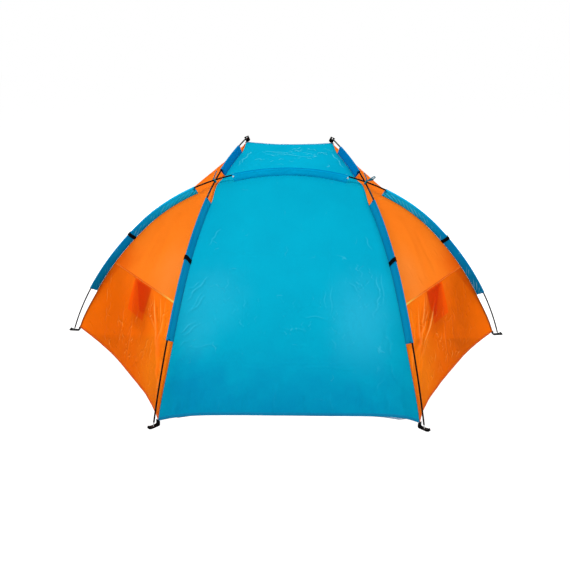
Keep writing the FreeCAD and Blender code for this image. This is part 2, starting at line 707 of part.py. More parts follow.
# ---------------------------------------------------------------- ties and pockets
def crossing_tie():
    """Tape lashed round the two poles where they cross, with its knot on the outside."""
    over, along_arch, _ = ARCH.frame(ARCH_CROSSING)
    under, along_roof, _ = ROOF.frame(ROOF_CROSSING)
    if along_arch.dot(along_roof) < 0:
        along_arch = along_arch * -1
    out = along_arch.cross(along_roof)
    out = out.normalize() * (1 if out.dot(over - under) > 0 else -1)
    middle = (over + under) * 0.5
    wide = along_arch - along_roof                  # across the narrow angle between the poles
    wide.normalize()
    long_way = wide.cross(out)
    half_angle = along_arch.getAngle(along_roof) / 2
    half_wide = (POLE_OD / 2) / math.cos(half_angle) + TIE_WIDTH / 2 * math.tan(half_angle) + TIE_SLACK
    half_deep = POLE_OD + CROSSING_GAP / 2 + TIE_SLACK

    def around(grow, length):
        corner = middle - wide * (half_wide + grow) - out * (half_deep + grow) - long_way * (length / 2)
        return block(corner, long_way, wide, length, 2 * (half_wide + grow), 2 * (half_deep + grow))

    ring = around(TIE_WALL, TIE_WIDTH).cut(around(0.0, 2 * TIE_WIDTH))
    top = middle + out * (half_deep + TIE_WALL)
    knot = Part.makeSphere(TIE_KNOT / 2, top).cut(around(0.0, 2 * TIE_WIDTH))
    return joined([ring] + knot.Solids), top, out


def tie_end(top, out):
    """Free end of the tape: a short strip that stands up from the knot and leans to the middle."""
    lean = (UP * 4 - RIGHT).normalize()
    start = top + out + lean * (TIE_KNOT / 2 + TAIL_GAP)
    side = FORWARD.cross(lean).normalize()
    corner = start - side * (TIE_WIDTH / 2)
    return block(corner, lean, side, TIE_END_LENGTH, TIE_WIDTH, TIE_WALL)


def tie_bow(top):
    """One flat loop of tape that stands out from the knot over the front wing."""
    slope = math.radians(TIE_BOW_RISE)
    along = RIGHT * math.cos(slope) + UP * math.sin(slope)
    side = FORWARD * -1
    across = side.cross(along)
    radius = TIE_BOW_WIDTH / 2
    start = top + along * (TIE_KNOT / 2 + TAIL_GAP) - side * (TIE_WIDTH / 2)

    def loop(r, first, last):
        a, b = start + along * first, start + along * last
        wire = [Part.makeLine(a + across * r, b + across * r),
                Part.Arc(b + across * r, b + along * r, b - across * r).toShape(),
                Part.makeLine(b - across * r, a - across * r),
                Part.Arc(a - across * r, a - along * r, a + across * r).toShape()]
        return Part.Face(Part.Wire(wire)).extrude(side * TIE_WIDTH)

    outer = loop(radius, radius, TIE_BOW_LENGTH - radius)
    return outer.cut(loop(radius - TIE_WALL, radius, TIE_BOW_LENGTH - radius)).Solids[0]


def pocket():
    """Storage pocket hung inside the wing from its level seam, open at the top."""
    way = WING_SEAM(1) - WING_SEAM(0)
    way.normalize()
    inward = way.cross(UP)
    if inward.x > 0:
        inward = inward * -1
    if way.cross(inward).z < 0:
        way = way * -1
    half = POCKET_SPACE / 2 + CLOTH
    top = WING_SEAM(POCKET_AT) + inward * (POCKET_STANDOFF + half) - UP * POCKET_DROP
    corner = top - way * (POCKET_WIDTH / 2) - inward * half - UP * POCKET_DEPTH
    bag = block(corner, way, inward, POCKET_WIDTH, 2 * half, POCKET_DEPTH)
    room = block(corner + (way + inward + UP) * CLOTH, way, inward, POCKET_WIDTH - 2 * CLOTH, POCKET_SPACE,
                 POCKET_DEPTH)
    return bag.cut(room).Solids[0], top, way, inward


# ---------------------------------------------------------------- build
def mirrored(shape):
    return shape.mirror(Vec(0, 0, 0), RIGHT)


NODES = {}


def add(name, solids):
    solids = solids if isinstance(solids, list) else [solids]
    NODES[name] = Part.makeCompound(solids) if len(solids) > 1 else solids[0]


def add_pair(name, solid):
    add("right_" + name, solid)
    add("left_" + name, mirrored(solid))


def main():
    for i, segment in enumerate(pole_segments(ARCH, ARCH_SEGMENTS), 1):
        add(f"arch_pole_{i}", segment)
    for i, segment in enumerate(pole_segments(ROOF, ROOF_SEGMENTS), 1):
        add_pair(f"roof_pole_{i}", segment)
    add("arch_pole_ferrules", ferrules(ARCH, ARCH_SEGMENTS))
    add("arch_pole_end_pins", end_pins(ARCH))
    roof_ferrules, roof_pins = ferrules(ROOF, ROOF_SEGMENTS), end_pins(ROOF)
    for name, solids in (("roof_pole_ferrules", roof_ferrules), ("roof_pole_end_pins", roof_pins)):
        add("right_" + name, solids)
        add("left_" + name, [mirrored(solid) for solid in solids])

    in_arch, in_roof = sleeve_section(ARCH, ARCH_SLEEVE_TILT), sleeve_section(ROOF, ROOF_SLEEVE_TILT)
    add("top_arch_sleeve", ARCH.sweep(in_arch, ARCH_TOP - TOP_SLEEVE_HALF, ARCH_TOP + TOP_SLEEVE_HALF))
    add_pair("arch_sleeve", ARCH.sweep(in_arch, ARCH_SLEEVE_START, ARCH_SLEEVE_END))
    add_pair("rear_sleeve", ROOF.sweep(in_roof, REAR_SLEEVE_START, REAR_SLEEVE_END))
    add_pair("roof_sleeve", ROOF.sweep(in_roof, ROOF_SLEEVE_START, ROOF_SLEEVE_END))

    half = GUY_LOOP_WIDTH / 2
    arch_at = ARCH_TOP - ARCH_LOOP_AT
    arch_loop = ARCH.sweep(loop_section(ARCH, ARCH_SLEEVE_TILT), arch_at - half, arch_at + half)
    rear_loop = ROOF.sweep(loop_section(ROOF, ROOF_SLEEVE_TILT), REAR_LOOP_AT - half, REAR_LOOP_AT + half)
    add("arch_guy_loops", [arch_loop, mirrored(arch_loop)])
    add("rear_guy_loops", [rear_loop, mirrored(rear_loop)])

    add("rear_panel", rear_panel())
    add("roof_panel", roof_panel())
    add_pair("wing_lower", wing_lower())
    add_pair("wing_upper", wing_upper())
    add_pair("front_wing", front_wing())
    add("floor_sheet", floor_sheet())

    eyelets = []
    for name, line, corner, heading in (("rear", ROOF, REAR_CORNER, REAR_STRAP_HEADING),
                                        ("front", ARCH, FRONT_CORNER, FRONT_STRAP_HEADING)):
        strap, ring = corner_strap(line, corner, compass(heading))
        add_pair(name + "_corner_strap", strap)
        eyelets.append(ring)
        loop, peg_ring, fold, side, hole = peg_loop(line, compass(heading))
        add_pair(name + "_peg_loop", loop)
        add_pair(name + "_peg_eyelet", peg_ring)
        print(name, "fold", fold, "axis", side * -1, "peg eyelet", hole)
    strap, ring = tip_strap()
    add_pair("tip_strap", strap)
    eyelets.append(ring)
    add("pole_eyelets", eyelets + [mirrored(ring) for ring in eyelets])

    tie, top, out = crossing_tie()
    add_pair("crossing_tie", tie)
    add_pair("tie_end", tie_end(top, out))
    add("left_tie_bow", mirrored(tie_bow(top)))
    bag, hang, way, inward = pocket()
    add_pair("pocket", bag)
    print("pocket hang", hang, "way", way, "inward", inward)
    print("arch", ARCH.length, "roof pole", ROOF.length, "crossing", ROOF_CROSSING, ARCH_CROSSING)

    os.makedirs("parts", exist_ok=True)
    for name, shape in NODES.items():
        shape.exportStep(f"parts/{name}.step")


main()
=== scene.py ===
import math
import random

import bpy
import numpy as np
from mathutils import Matrix, Vector, noise


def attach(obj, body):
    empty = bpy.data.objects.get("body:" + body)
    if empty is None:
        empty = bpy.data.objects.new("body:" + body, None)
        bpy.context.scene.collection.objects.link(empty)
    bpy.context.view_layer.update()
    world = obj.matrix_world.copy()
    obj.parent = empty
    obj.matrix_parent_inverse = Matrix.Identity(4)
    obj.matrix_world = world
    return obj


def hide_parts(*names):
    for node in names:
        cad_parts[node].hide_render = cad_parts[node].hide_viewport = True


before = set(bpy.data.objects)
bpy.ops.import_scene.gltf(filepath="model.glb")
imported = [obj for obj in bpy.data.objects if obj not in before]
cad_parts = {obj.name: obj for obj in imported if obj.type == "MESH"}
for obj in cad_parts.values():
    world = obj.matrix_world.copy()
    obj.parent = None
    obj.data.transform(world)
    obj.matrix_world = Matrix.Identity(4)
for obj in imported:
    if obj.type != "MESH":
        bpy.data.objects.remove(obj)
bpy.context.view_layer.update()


# ---------------------------------------------------------------- poles, ferrules and pins
# Black fibreglass rods, 8.5 mm thick, cut in lengths that plug into dark steel ferrules. One long rod
# arches over the shelter from side to side. Two shorter rods rise from the rear feet, pass under the
# arch and reach forward over the open front. Each rod ends in a turned steel pin.
class PoleLine:
    """Centre line of a rod in its own plane, as arcs, and the tilt of its sleeve to that plane."""

    def __init__(self, origin, across, up, start, heading, tilt, arcs):
        self.origin, self.across, self.up, self.tilt = Vector(origin), Vector(across), Vector(up), tilt
        self.normal = self.across.cross(self.up)
        self.inside = 1 if arcs[0][1] > 0 else -1
        self.arcs, done, x, y, angle = [], 0.0, start, 0.0, math.radians(heading)
        for length, radius in arcs:
            self.arcs.append((done, radius, x, y, angle))
            x, y, angle = self.along(x, y, angle, radius, length)
            done += length
        self.length = done

    @staticmethod
    def along(x, y, angle, radius, length):
        end = angle + length / radius
        return (x + radius * (math.sin(end) - math.sin(angle)),
                y - radius * (math.cos(end) - math.cos(angle)), end)

    def at(self, s):
        """Point, direction of travel and direction to the seam at the length s."""
        done, radius, x, y, angle = [a for a in self.arcs if a[0] <= max(s, 0) + 1e-7][-1]
        x, y, angle = self.along(x, y, angle, radius, s - done)
        point = self.origin + self.across * x + self.up * y
        travel = self.across * math.cos(angle) + self.up * math.sin(angle)
        inward = (self.up * math.cos(angle) - self.across * math.sin(angle)) * self.inside
        return point, travel, self.normal * math.cos(self.tilt) + inward * math.sin(self.tilt)


ARCH = PoleLine((0, -0.529, 0.0008), (1, 0, 0), (0, 0.333807, 0.942641), 1.350, 109.6275, math.pi / 2,
                [(0.98057, 2.35019), (0.93990, 1.15893), (0.93990, 1.15893), (0.98057, 2.35019)])
ROOF_POLE = PoleLine((0.663, 0.671, 0.0008), (-0.288649, -0.957435, 0), (0, 0, 1), 0.0, 66.8401,
                     math.radians(65),
                     [(0.69806, -3.00056), (0.68802, -1.45001), (0.28325, -1.49649), (0.28390, -3.12389)])
ARCH_TOP = ARCH.length / 2
ARCH_CROSSING, ROOF_CROSSING = 1.497851, 1.386070


def srgb(dye):
    """A dye's colour, written in hexadecimal, for a shader."""
    shares = [int(dye[i:i + 2], 16) / 255 for i in (0, 2, 4)]
    return [c / 12.92 if c <= 0.04045 else ((c + 0.055) / 1.055) ** 2.4 for c in shares] + [1.0]


class Nodes:
    """Adds nodes to a shader tree. An input takes a value, a dye or what another node gives out."""

    def __init__(self, tree):
        self.tree = tree

    def add(self, kind, inputs=None, **settings):
        node = self.tree.nodes.new("ShaderNode" + kind)
        for name, value in settings.items():
            setattr(node, name, value)
        for name, value in (inputs or {}).items():
            if isinstance(value, bpy.types.NodeSocket):
                self.tree.links.new(value, node.inputs[name])
            else:
                node.inputs[name].default_value = srgb(value) if isinstance(value, str) else value
        return node.outputs

    def maths(self, operation, *values):
        return self.add("Math", dict(enumerate(values)), operation=operation)[0]

    def ramp(self, value, low, high, top=1.0, shape="LINEAR"):
        """0 at the low value, top at the high one."""
        return self.add("MapRange", {"Value": value, "From Min": low, "From Max": high,
                                     "To Max": top}, interpolation_type=shape)[0]

    def blend(self, amount, first, second):
        return self.add("Mix", {0: amount, 6: first, 7: second}, data_type="RGBA")[2]

    def noise(self, place, scale, detail=2.0, rough=0.5, warp=0.0, **settings):
        return self.add("TexNoise", {"Vector": place, "Scale": scale, "Detail": detail,
                                     "Roughness": rough, "Distortion": warp}, **settings)[0]

    def bump(self, height, strength=1.0):
        return self.add("Bump", {"Strength": strength, "Distance": 1.0, "Height": height})[0]

    def skin(self, colour, roughness, normal, shine, metal=0.0):
        return self.add("BsdfPrincipled", {
            "Base Color": colour, "Roughness": roughness, "Normal": normal, "Metallic": metal,
            "Specular IOR Level": shine})[0]


def new_group(name, takes, gives):
    """An empty group: its nodes, its inputs, and the call that links what it gives out.

    Sockets are named with their kind, and those for a number with its usual value instead.
    """
    group = bpy.data.node_groups.new(name, "ShaderNodeTree")
    for way, sockets in (("INPUT", takes), ("OUTPUT", gives)):
        for label, kind in sockets.items():
            named = isinstance(kind, str)
            socket = group.interface.new_socket(label, in_out=way,
                                                socket_type="NodeSocket" + (kind if named else "Float"))
            if not named:
                socket.default_value = kind
    given, out = group.nodes.new("NodeGroupInput").outputs, group.nodes.new("NodeGroupOutput").inputs

    def give(**results):
        for label, value in results.items():
            group.links.new(value, out[label])
        return group
    return Nodes(group), given, give


def new_material(name):
    """A material with an empty tree, its nodes, and the call that links its surface."""
    material = bpy.data.materials.new(name)
    material.use_nodes = True
    material.node_tree.nodes.clear()
    nodes = Nodes(material.node_tree)

    def finish(surface):
        nodes.add("OutputMaterial", {"Surface": surface})
        return material
    return nodes, finish


def handling_group():
    """Fine grain, rubbed patches and small scratches on hard parts."""
    nodes, given, give = new_group("Handling marks", {
        "Place": "Vector", "Colour": "Color", "Rubbed colour": "Color", "Grain": 900.0, "Wear": 0.4,
        "Roughness": 0.4}, {"Colour": "Color", "Roughness": "Float", "Height": "Float"})
    fine = nodes.noise(given["Place"], given["Grain"], 3.0)
    scratches = nodes.noise(given["Place"], 160.0, warp=1.6, noise_type="RIDGED_MULTIFRACTAL")
    rubbed = nodes.ramp(nodes.noise(given["Place"], 34.0, 5.0, rough=0.7), 0.52, 0.75)
    wear_and_shade = nodes.maths("MULTIPLY", rubbed, given["Wear"])
    rough = nodes.maths("MULTIPLY_ADD", fine, 0.16, given["Roughness"])
    grain = nodes.maths("MULTIPLY", fine, 0.00004)
    return give(Colour=nodes.blend(wear_and_shade, given["Colour"], given["Rubbed colour"]),
                Roughness=nodes.maths("MULTIPLY_ADD", wear_and_shade, 0.2, rough),
                Height=nodes.maths("MULTIPLY_ADD", scratches, -0.00002, grain))


HANDLING = handling_group()


def hard_material(name, colour, rubbed, grain, wear, roughness, metal=0.0, shine=0.5):
    nodes, finish = new_material(name)
    marks = nodes.add("Group", {
        "Place": nodes.add("TexCoord")["Object"], "Colour": colour, "Rubbed colour": rubbed,
        "Grain": grain, "Wear": wear, "Roughness": roughness}, node_tree=HANDLING)
    return finish(nodes.skin(marks["Colour"], marks["Roughness"], nodes.bump(marks["Height"], 0.8), shine, metal))


fibreglass = hard_material("Black fibreglass", "080809", "181716", 700.0, 0.4, 0.5, shine=0.02)
ferrule_steel = hard_material("Blackened steel", "222224", "605e5a", 900.0, 0.6, 0.28, 0.7)
pin_steel = hard_material("Turned steel", "a8a8a6", "cdccc8", 1200.0, 0.5, 0.26, 1.0)


def finish_node(node, material):
    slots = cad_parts[node].material_slots
    if not slots:
        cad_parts[node].data.materials.append(material)
    for each in slots:
        each.material = material


for pole, segments in (("arch_pole", 6), ("left_roof_pole", 3), ("right_roof_pole", 3)):
    for i in range(segments):
        finish_node(f"{pole}_{i + 1}", fibreglass)
    finish_node(pole + "_ferrules", ferrule_steel)
    finish_node(pole + "_end_pins", pin_steel)


# ---------------------------------------------------------------- pole sleeves
# Tubes of blue polyester taffeta that run over the rods: each is a strip folded round the rod, turned
# in at both mouths, and caught in the seam between two panels 40 mm from the rod. The cloth is drawn
# tight along the rod and gathers in slanting puckers.
def weave_group():
    """Taffeta: a fine plain weave, handling creases with painted highlights, painted highlights on fold ridges and
    painted shade in fold hollows, and slow random changes of tone.
    """
    nodes, given, give = new_group("Taffeta", {
        "Cut": "Vector", "Colour": "Color", "Shade": "Color", "Painted crease highlight": "Color", "Crumple": 0.0008,
        "Painted highlight strength": 0.5, "Roughness": 0.5, "Crest": 0.0, "Painted hollow shade": 0.22},
                                   {"Colour": "Color", "Roughness": "Float", "Height": "Float"})
    cut = given["Cut"]
    wander = nodes.add("TexNoise", {"Vector": cut, "Scale": 26.0, "Detail": 2.0})["Color"]
    bent = nodes.add("VectorMath", {0: wander, 1: (0.050, 0.022, 0.0), 2: cut}, operation="MULTIPLY_ADD")[0]
    contour = nodes.maths("ABSOLUTE", nodes.maths("SUBTRACT", nodes.noise(bent, 11.0, 1.0), 0.5))
    edge = nodes.ramp(contour, 0.016, 0.0, shape="SMOOTHSTEP")
    line = nodes.maths("MULTIPLY", edge, nodes.ramp(nodes.noise(cut, 19.0), 0.57, 0.67))
    crease = nodes.maths("MULTIPLY", nodes.ramp(nodes.noise(cut, 4.6, 1.0), 0.44, 0.62), line)
    small = nodes.noise(cut, 70.0, warp=0.8)
    warp, weft = [nodes.add("TexWave", {"Vector": cut, "Scale": 560.0}, bands_direction=way)[1] for way in "XY"]
    slow = nodes.ramp(nodes.noise(cut, 3.2, 3.0, rough=0.55), 0.3, 0.72)
    tone = nodes.blend(slow, given["Colour"], given["Shade"])
    # Painted shade: the tone darkens towards black in the hollows of folds, where the crest is below 0.
    deep = nodes.blend(nodes.ramp(given["Crest"], 0.0, -1.0, given["Painted hollow shade"]), tone, "000000")
    # Painted highlights: the light crease colour along the handling creases and on the ridges of folds.
    lines = nodes.maths("MAXIMUM", nodes.maths("MULTIPLY", crease, 0.6), nodes.ramp(given["Crest"], 0.12, 1.0))
    painted_highlight = nodes.maths("MULTIPLY", lines, given["Painted highlight strength"])
    threads = nodes.maths("MULTIPLY", nodes.maths("ADD", warp, weft), 0.000012)
    soft = nodes.maths("MULTIPLY_ADD", small, 0.00035, threads)
    return give(Colour=nodes.blend(painted_highlight, deep, given["Painted crease highlight"]),
                Roughness=nodes.maths("MULTIPLY_ADD", small, 0.14, given["Roughness"]),
                Height=nodes.maths("MULTIPLY_ADD", crease, given["Crumple"], soft))


def stitch_group():
    """A row of lockstitches along U, at a distance V from the edge."""
    nodes, given, give = new_group("Lockstitch", {
        "Edge": "Vector", "Row": 0.004, "Pitch": 0.0032, "Thread": 0.0005}, {"Thread": "Float", "Height": "Float"})
    parts = nodes.add("SeparateXYZ", {0: given["Edge"]})
    away = nodes.maths("ABSOLUTE", nodes.maths("SUBTRACT", parts[1], given["Row"]))
    ratio = nodes.maths("DIVIDE", away, given["Thread"])
    turn = nodes.maths("PINGPONG", nodes.maths("DIVIDE", parts[0], given["Pitch"]), 0.5)
    thread = nodes.maths("MULTIPLY", nodes.ramp(ratio, 1.0, 0.4), nodes.ramp(turn, 0.08, 0.14))
    dent = nodes.maths("MULTIPLY", nodes.ramp(ratio, 4.0, 0.8), -0.0003)
    return give(Thread=thread, Height=nodes.maths("MULTIPLY_ADD", thread, 0.0003, dent))


TAFFETA, LOCKSTITCH = weave_group(), stitch_group()


def sew(nodes, edge, row, thread, colour, height):
    """A row of stitches over a cloth: its colour and its height with them."""
    sewn = nodes.add("Group", {"Edge": edge, "Row": row}, node_tree=LOCKSTITCH)
    return nodes.blend(sewn["Thread"], colour, thread), nodes.maths("ADD", height, sewn["Height"])


def cloth_material(name, dyes, crumple, highlight_strength, let_through, thread=None, row=0.004, shine=0.08, sheer=0.0,
                   hollow_shade=0.22, painted_shading=(), panels=()):
    """Coated taffeta that passes some light. With a thread's dye it also has a row of stitches.

    The dyes are for the cloth, its slow random changes of tone, the painted highlights on its creases and
    fold ridges, and the light that it passes. Each wash is a soft patch of painted shading: its middle on
    the cut, its two radii, strength and dye. A panel is painted shade with straight, clear edges, where a
    second layer behind the cloth holds back the light that comes through it.
    """
    nodes, finish = new_material(name)
    # The crease dye is the colour of the painted highlights on creases and fold ridges.
    colour, shade, crease, glow = dyes.split()
    cut = nodes.add("UVMap", uv_map="Cut")[0]
    weave = nodes.add("Group", {
        "Cut": cut, "Colour": colour, "Shade": shade, "Painted crease highlight": crease, "Crumple": crumple,
        "Painted highlight strength": highlight_strength, "Roughness": 0.55, "Painted hollow shade": hollow_shade,
        "Crest": nodes.add("Attribute", attribute_name="crest")["Fac"]}, node_tree=TAFFETA)
    tint, height = weave["Colour"], weave["Height"]
    if painted_shading:
        uneven = nodes.maths("MULTIPLY_ADD", nodes.noise(cut, 8.0, 4.0, rough=0.6), 0.7, -0.35)
    # Washes are painted shading in soft patches; panels are painted shade within straight edges.
    for k, (x, y, wide, high, strength, dye) in enumerate((*painted_shading, *panels)):
        place = nodes.add("Mapping", {"Vector": cut, "Location": (-x / wide, -y / high, 0),
                                      "Scale": (1 / wide, 1 / high, 1)})[0]
        if k < len(painted_shading):
            off = nodes.add("VectorMath", {0: place}, operation="LENGTH")["Value"]
            amount = nodes.ramp(nodes.maths("ADD", off, uneven), 1.1, 0.0, strength, "SMOOTHSTEP")
        else:
            off = nodes.add("VectorMath", {0: place}, operation="ABSOLUTE")[0]
            sides = nodes.add("SeparateXYZ", {0: off})
            amount = nodes.ramp(nodes.maths("MAXIMUM", sides[0], sides[1]), 1.03, 0.93, strength)
        tint = nodes.blend(amount, tint, dye)
    if thread:
        tint, height = sew(nodes, cut, row, thread, tint, height)
    normal = nodes.bump(height)
    through = nodes.add("BsdfTranslucent", {"Color": nodes.blend(0.6, glow, tint), "Normal": normal})[0]
    surface = nodes.add("MixShader", {
        0: let_through, 1: nodes.skin(tint, weave["Roughness"], normal, shine), 2: through})[0]
    if sheer:
        clear = nodes.add("BsdfTransparent", {"Color": glow})[0]
        surface = nodes.add("MixShader", {0: sheer, 1: surface, 2: clear})[0]
    return finish(surface)


# The sleeves are of the same blue taffeta as the panels. Their differing blues are painted light and shade for how
# each lies to the light: the top sleeve lighter, the rear, roof and arch sleeves darker. Their washes are painted
# shading: a thin line of painted shade along the rod on the rear and top sleeves, and on the arch sleeves a
# painted highlight near the top and painted shade near the foot. The arch sleeves' very light crease dye paints
# highlights along their puckers.
sleeve_cloth = cloth_material(
    "Sleeve taffeta", "0892bc 0080b2 3cb8dc 0086be", 0.0008, 0.22, 0.10,
    "0a5c8c", 0.006, 0.02, painted_shading=((0.40, 0.044, 9.0, 0.010, 0.60, "0068a0"),))
roof_sleeve_cloth = cloth_material(
    "Roof sleeve taffeta", "007ab8 006eae 289cd0 007ab8", 0.0006, 0.16, 0.08,
    "005c96", 0.006, 0.0, hollow_shade=0.10)
arch_sleeve_cloth = cloth_material(
    "Arch sleeve taffeta", "0094d4 0082c4 c4f8ff 0096c8", 0.0008, 1.00, 0.10,
    "0a5c8c", 0.006, 0.02, painted_shading=((0.92, 0.02, 0.42, 1.0, 0.90, "10b8ea"),
                                   (0.05, 0.02, 0.36, 1.0, 0.55, "006a8e")))
top_sleeve_cloth = cloth_material(
    "Top sleeve taffeta", "00b2e0 00a8d8 46ceee 00a0d2", 0.0006, 0.16, 0.10,
    "00709e", 0.006, 0.0, hollow_shade=0.10, painted_shading=((0.32, 0.047, 9.0, 0.0065, 0.9, "0074ac"),))


def lay_mesh(name, points, cut, material, flip=False, crest=None):
    """A sheet over a grid of points, rows by columns, with its cut in metres as its UV map.

    Its crest runs from -1 in the hollows of its folds to 1 on their ridges, for the cloth's painted highlights on
    ridges and painted shade in hollows.
    """
    mesh = bpy.data.meshes.new(name)
    index = np.arange(points.shape[0] * points.shape[1]).reshape(points.shape[:2])
    quads = np.stack([index[:-1, :-1], index[:-1, 1:], index[1:, 1:], index[1:, :-1]], axis=-1).reshape(-1, 4)
    if flip:
        quads = quads[:, ::-1]
    mesh.from_pydata(points.reshape(-1, 3).tolist(), [], quads.tolist())
    mesh.uv_layers.new(name="Cut").data.foreach_set(
        "uv", cut.reshape(-1, 2)[quads.reshape(-1)].astype(np.float32).reshape(-1))
    mesh.polygons.foreach_set("use_smooth", [True] * len(mesh.polygons))
    if crest is not None:
        mesh.attributes.new("crest", "FLOAT", "POINT").data.foreach_set(
            "value", np.clip(crest, -1, 1).astype(np.float32).reshape(-1))
    mesh.materials.append(material)
    piece = bpy.data.objects.new(name, mesh)
    bpy.context.scene.collection.objects.link(piece)
    return piece


def select_only(*pieces):
    bpy.ops.object.select_all(action="DESELECT")
    for piece in pieces:
        piece.select_set(True)
    bpy.context.view_layer.objects.active = pieces[0]


def apply_modifier(piece, kind, **settings):
    select_only(piece)
    modifier = piece.modifiers.new(kind.title(), kind)
    for name, value in settings.items():
        setattr(modifier, name, value)
    bpy.ops.object.modifier_apply(modifier=modifier.name)


def hand_over(piece, node=None, body="shelter"):
    """Puts a piece on the body that it moves with, and hides the node that it stands for."""
    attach(piece, body)
    if node:
        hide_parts(node)


def mirrored(points):
    return points * np.array([-1.0, 1.0, 1.0])


def ripple(cut, size, seed):
    """Smooth random waves over a cut, about -1 to 1."""
    places = (cut.reshape(-1, 2) / size).tolist()
    return np.array([noise.noise(Vector((x, y, seed))) for x, y in places]).reshape(cut.shape[:2])


def soft_step(value):
    value = np.clip(value, 0.0, 1.0)
    return value * value * (3 - 2 * value)


def run_along(points):
    """Length from the first point to each point."""
    return np.concatenate([[0], np.cumsum(np.linalg.norm(np.diff(points, axis=0), axis=1))])


def as_cut(across, up):
    return np.stack(np.broadcast_arrays(across, up), axis=-1)


SIDES = ((1, "right"), (-1, "left"))
SLEEVE_REACH = 0.040      # rod to the seam
SLEEVE_TUBE = 0.0063      # radius of the tube round the rod
SLEEVE_FOLD = 0.0008      # half the thickness of the flat part
MOUTH_HEM = 0.010         # how deep a mouth is turned in
PUCKER_PITCH = 0.034      # from one pucker to the next
ARCH_SLEEVE, REAR_SLEEVE, ROOF_SLEEVE = (0.380, 1.375), (0.425, 1.245), (1.495, 1.797)    # along the rods
TOP_SLEEVE = (ARCH_TOP - 0.320, ARCH_TOP + 0.320)


def teardrop(around):
    """Outline of a sleeve, from its sewn edge round the rod and back: across and aside."""
    tube, fold, reach = SLEEVE_TUBE, SLEEVE_FOLD, SLEEVE_REACH
    angle = math.atan2(fold, reach) + math.acos(tube / math.hypot(reach, fold))
    corner = (tube * math.cos(angle), tube * math.sin(angle))
    flats = np.linspace(0, 1, around // 3, endpoint=False)
    turn = np.linspace(angle, 2 * math.pi - angle, around - 2 * (around // 3) + 1)
    out = [(reach + (corner[0] - reach) * t, fold + (corner[1] - fold) * t) for t in flats]
    out += [(tube * math.cos(a), tube * math.sin(a)) for a in turn]
    out += [(corner[0] + (reach - corner[0]) * t, -corner[1] + (corner[1] - fold) * t)
            for t in list(flats[1:]) + [1.0]]
    return np.array(out)


def sew_sleeve(node, line, ends, side, slant, pucker, seed, cloth):
    """One sleeve with its puckers and its turned-in mouths; side is -1 for the mirrored one."""
    first, last = ends
    hem_steps = np.array([0.001, MOUTH_HEM - 0.0005, MOUTH_HEM + 0.0005])
    stations = np.unique(np.concatenate([
        np.arange(first, last, 0.0065), [first, last], first + hem_steps, last - hem_steps]))
    ring = teardrop(45)
    girth = run_along(ring)
    cut = np.stack(np.meshgrid(stations - first, girth, indexing="ij"), axis=-1)
    length = last - first
    pull = np.minimum(cut[..., 0], length - cut[..., 0])
    flat = np.clip((ring[:, 0] - SLEEVE_TUBE) / (SLEEVE_REACH - SLEEVE_TUBE), 0, 1)
    belly = np.sin(math.pi * flat)[None, :] * 0.9
    facing = np.sign(ring[:, 1])[None, :]
    phase = (cut[..., 0] + slant * ring[None, :, 0] * 1.5) / PUCKER_PITCH
    puckers = np.sin(2 * math.pi * (phase + ripple(cut, 0.16, seed) * 1.4))
    tug = np.minimum(cut[..., 0] + 0.20, length - cut[..., 0])
    strength = 0.25 + 0.75 * soft_step(1 - tug / (0.55 * pucker))
    strength = strength * (0.55 + 0.9 * np.abs(ripple(cut, 0.09, seed + 3))) * pucker
    aside = puckers * belly * strength * 0.0026 + belly * ripple(cut, 0.05, seed + 5) * 0.0009
    # The crest is painted highlight along the ridges of the puckers that face out, and painted shade in their
    # hollows.
    crest = np.clip((puckers * facing - 0.3) * 1.6, -0.7, 1) * np.clip(belly * 2, 0, 1) * np.clip(
        strength * 1.7 - 0.40 + ripple(cut, 0.05, seed + 11) * 0.8, 0, 1)
    aside = aside + belly * facing * (0.0013 + 0.0007 * ripple(cut, 0.07, seed + 7))
    near_rod = soft_step((SLEEVE_TUBE * 1.3 - ring[:, 0]) / (SLEEVE_TUBE * 2))[None, :]
    swell = near_rod * (0.0003 + 0.0003 * ripple(cut, 0.03, seed + 9)) + 0.0005 * (pull < MOUTH_HEM)
    points = np.zeros(cut.shape[:2] + (3,))
    for i, s in enumerate(stations):
        point, travel, across = line.at(s)
        beside = travel.cross(across)
        for j, (x, y) in enumerate(ring):
            in_tube = x < SLEEVE_TUBE
            grow = 1 + swell[i, j] / math.hypot(x, y) if in_tube else 1.0
            hem = math.copysign(0.0004, y) if pull[i, j] < MOUTH_HEM and not in_tube else 0.0
            points[i, j] = point + across * (x * grow) + beside * float(y * grow + aside[i, j] + hem)
    piece = lay_mesh(node + "_cloth", points if side > 0 else mirrored(points),
                     as_cut(cut[..., 0], SLEEVE_REACH - ring[None, :, 0]), cloth, side < 0, crest)
    apply_modifier(piece, "WELD", merge_threshold=0.00005)
    apply_modifier(piece, "SOLIDIFY", thickness=0.0004, offset=-1.0)
    hand_over(piece, node)


sew_sleeve("top_arch_sleeve", ARCH, TOP_SLEEVE, 1, 0.3, 0.40, 1.3, top_sleeve_cloth)
for side, word in SIDES:
    sew_sleeve(word + "_arch_sleeve", ARCH, ARCH_SLEEVE, side, 1.5, 1.1, 4.1 + side, arch_sleeve_cloth)
    sew_sleeve(word + "_rear_sleeve", ROOF_POLE, REAR_SLEEVE, side, 0.6, 0.55, 8.7 + side, sleeve_cloth)
    sew_sleeve(word + "_roof_sleeve", ROOF_POLE, ROOF_SLEEVE, side, 0.5, 0.35, 13.2 + side, roof_sleeve_cloth)


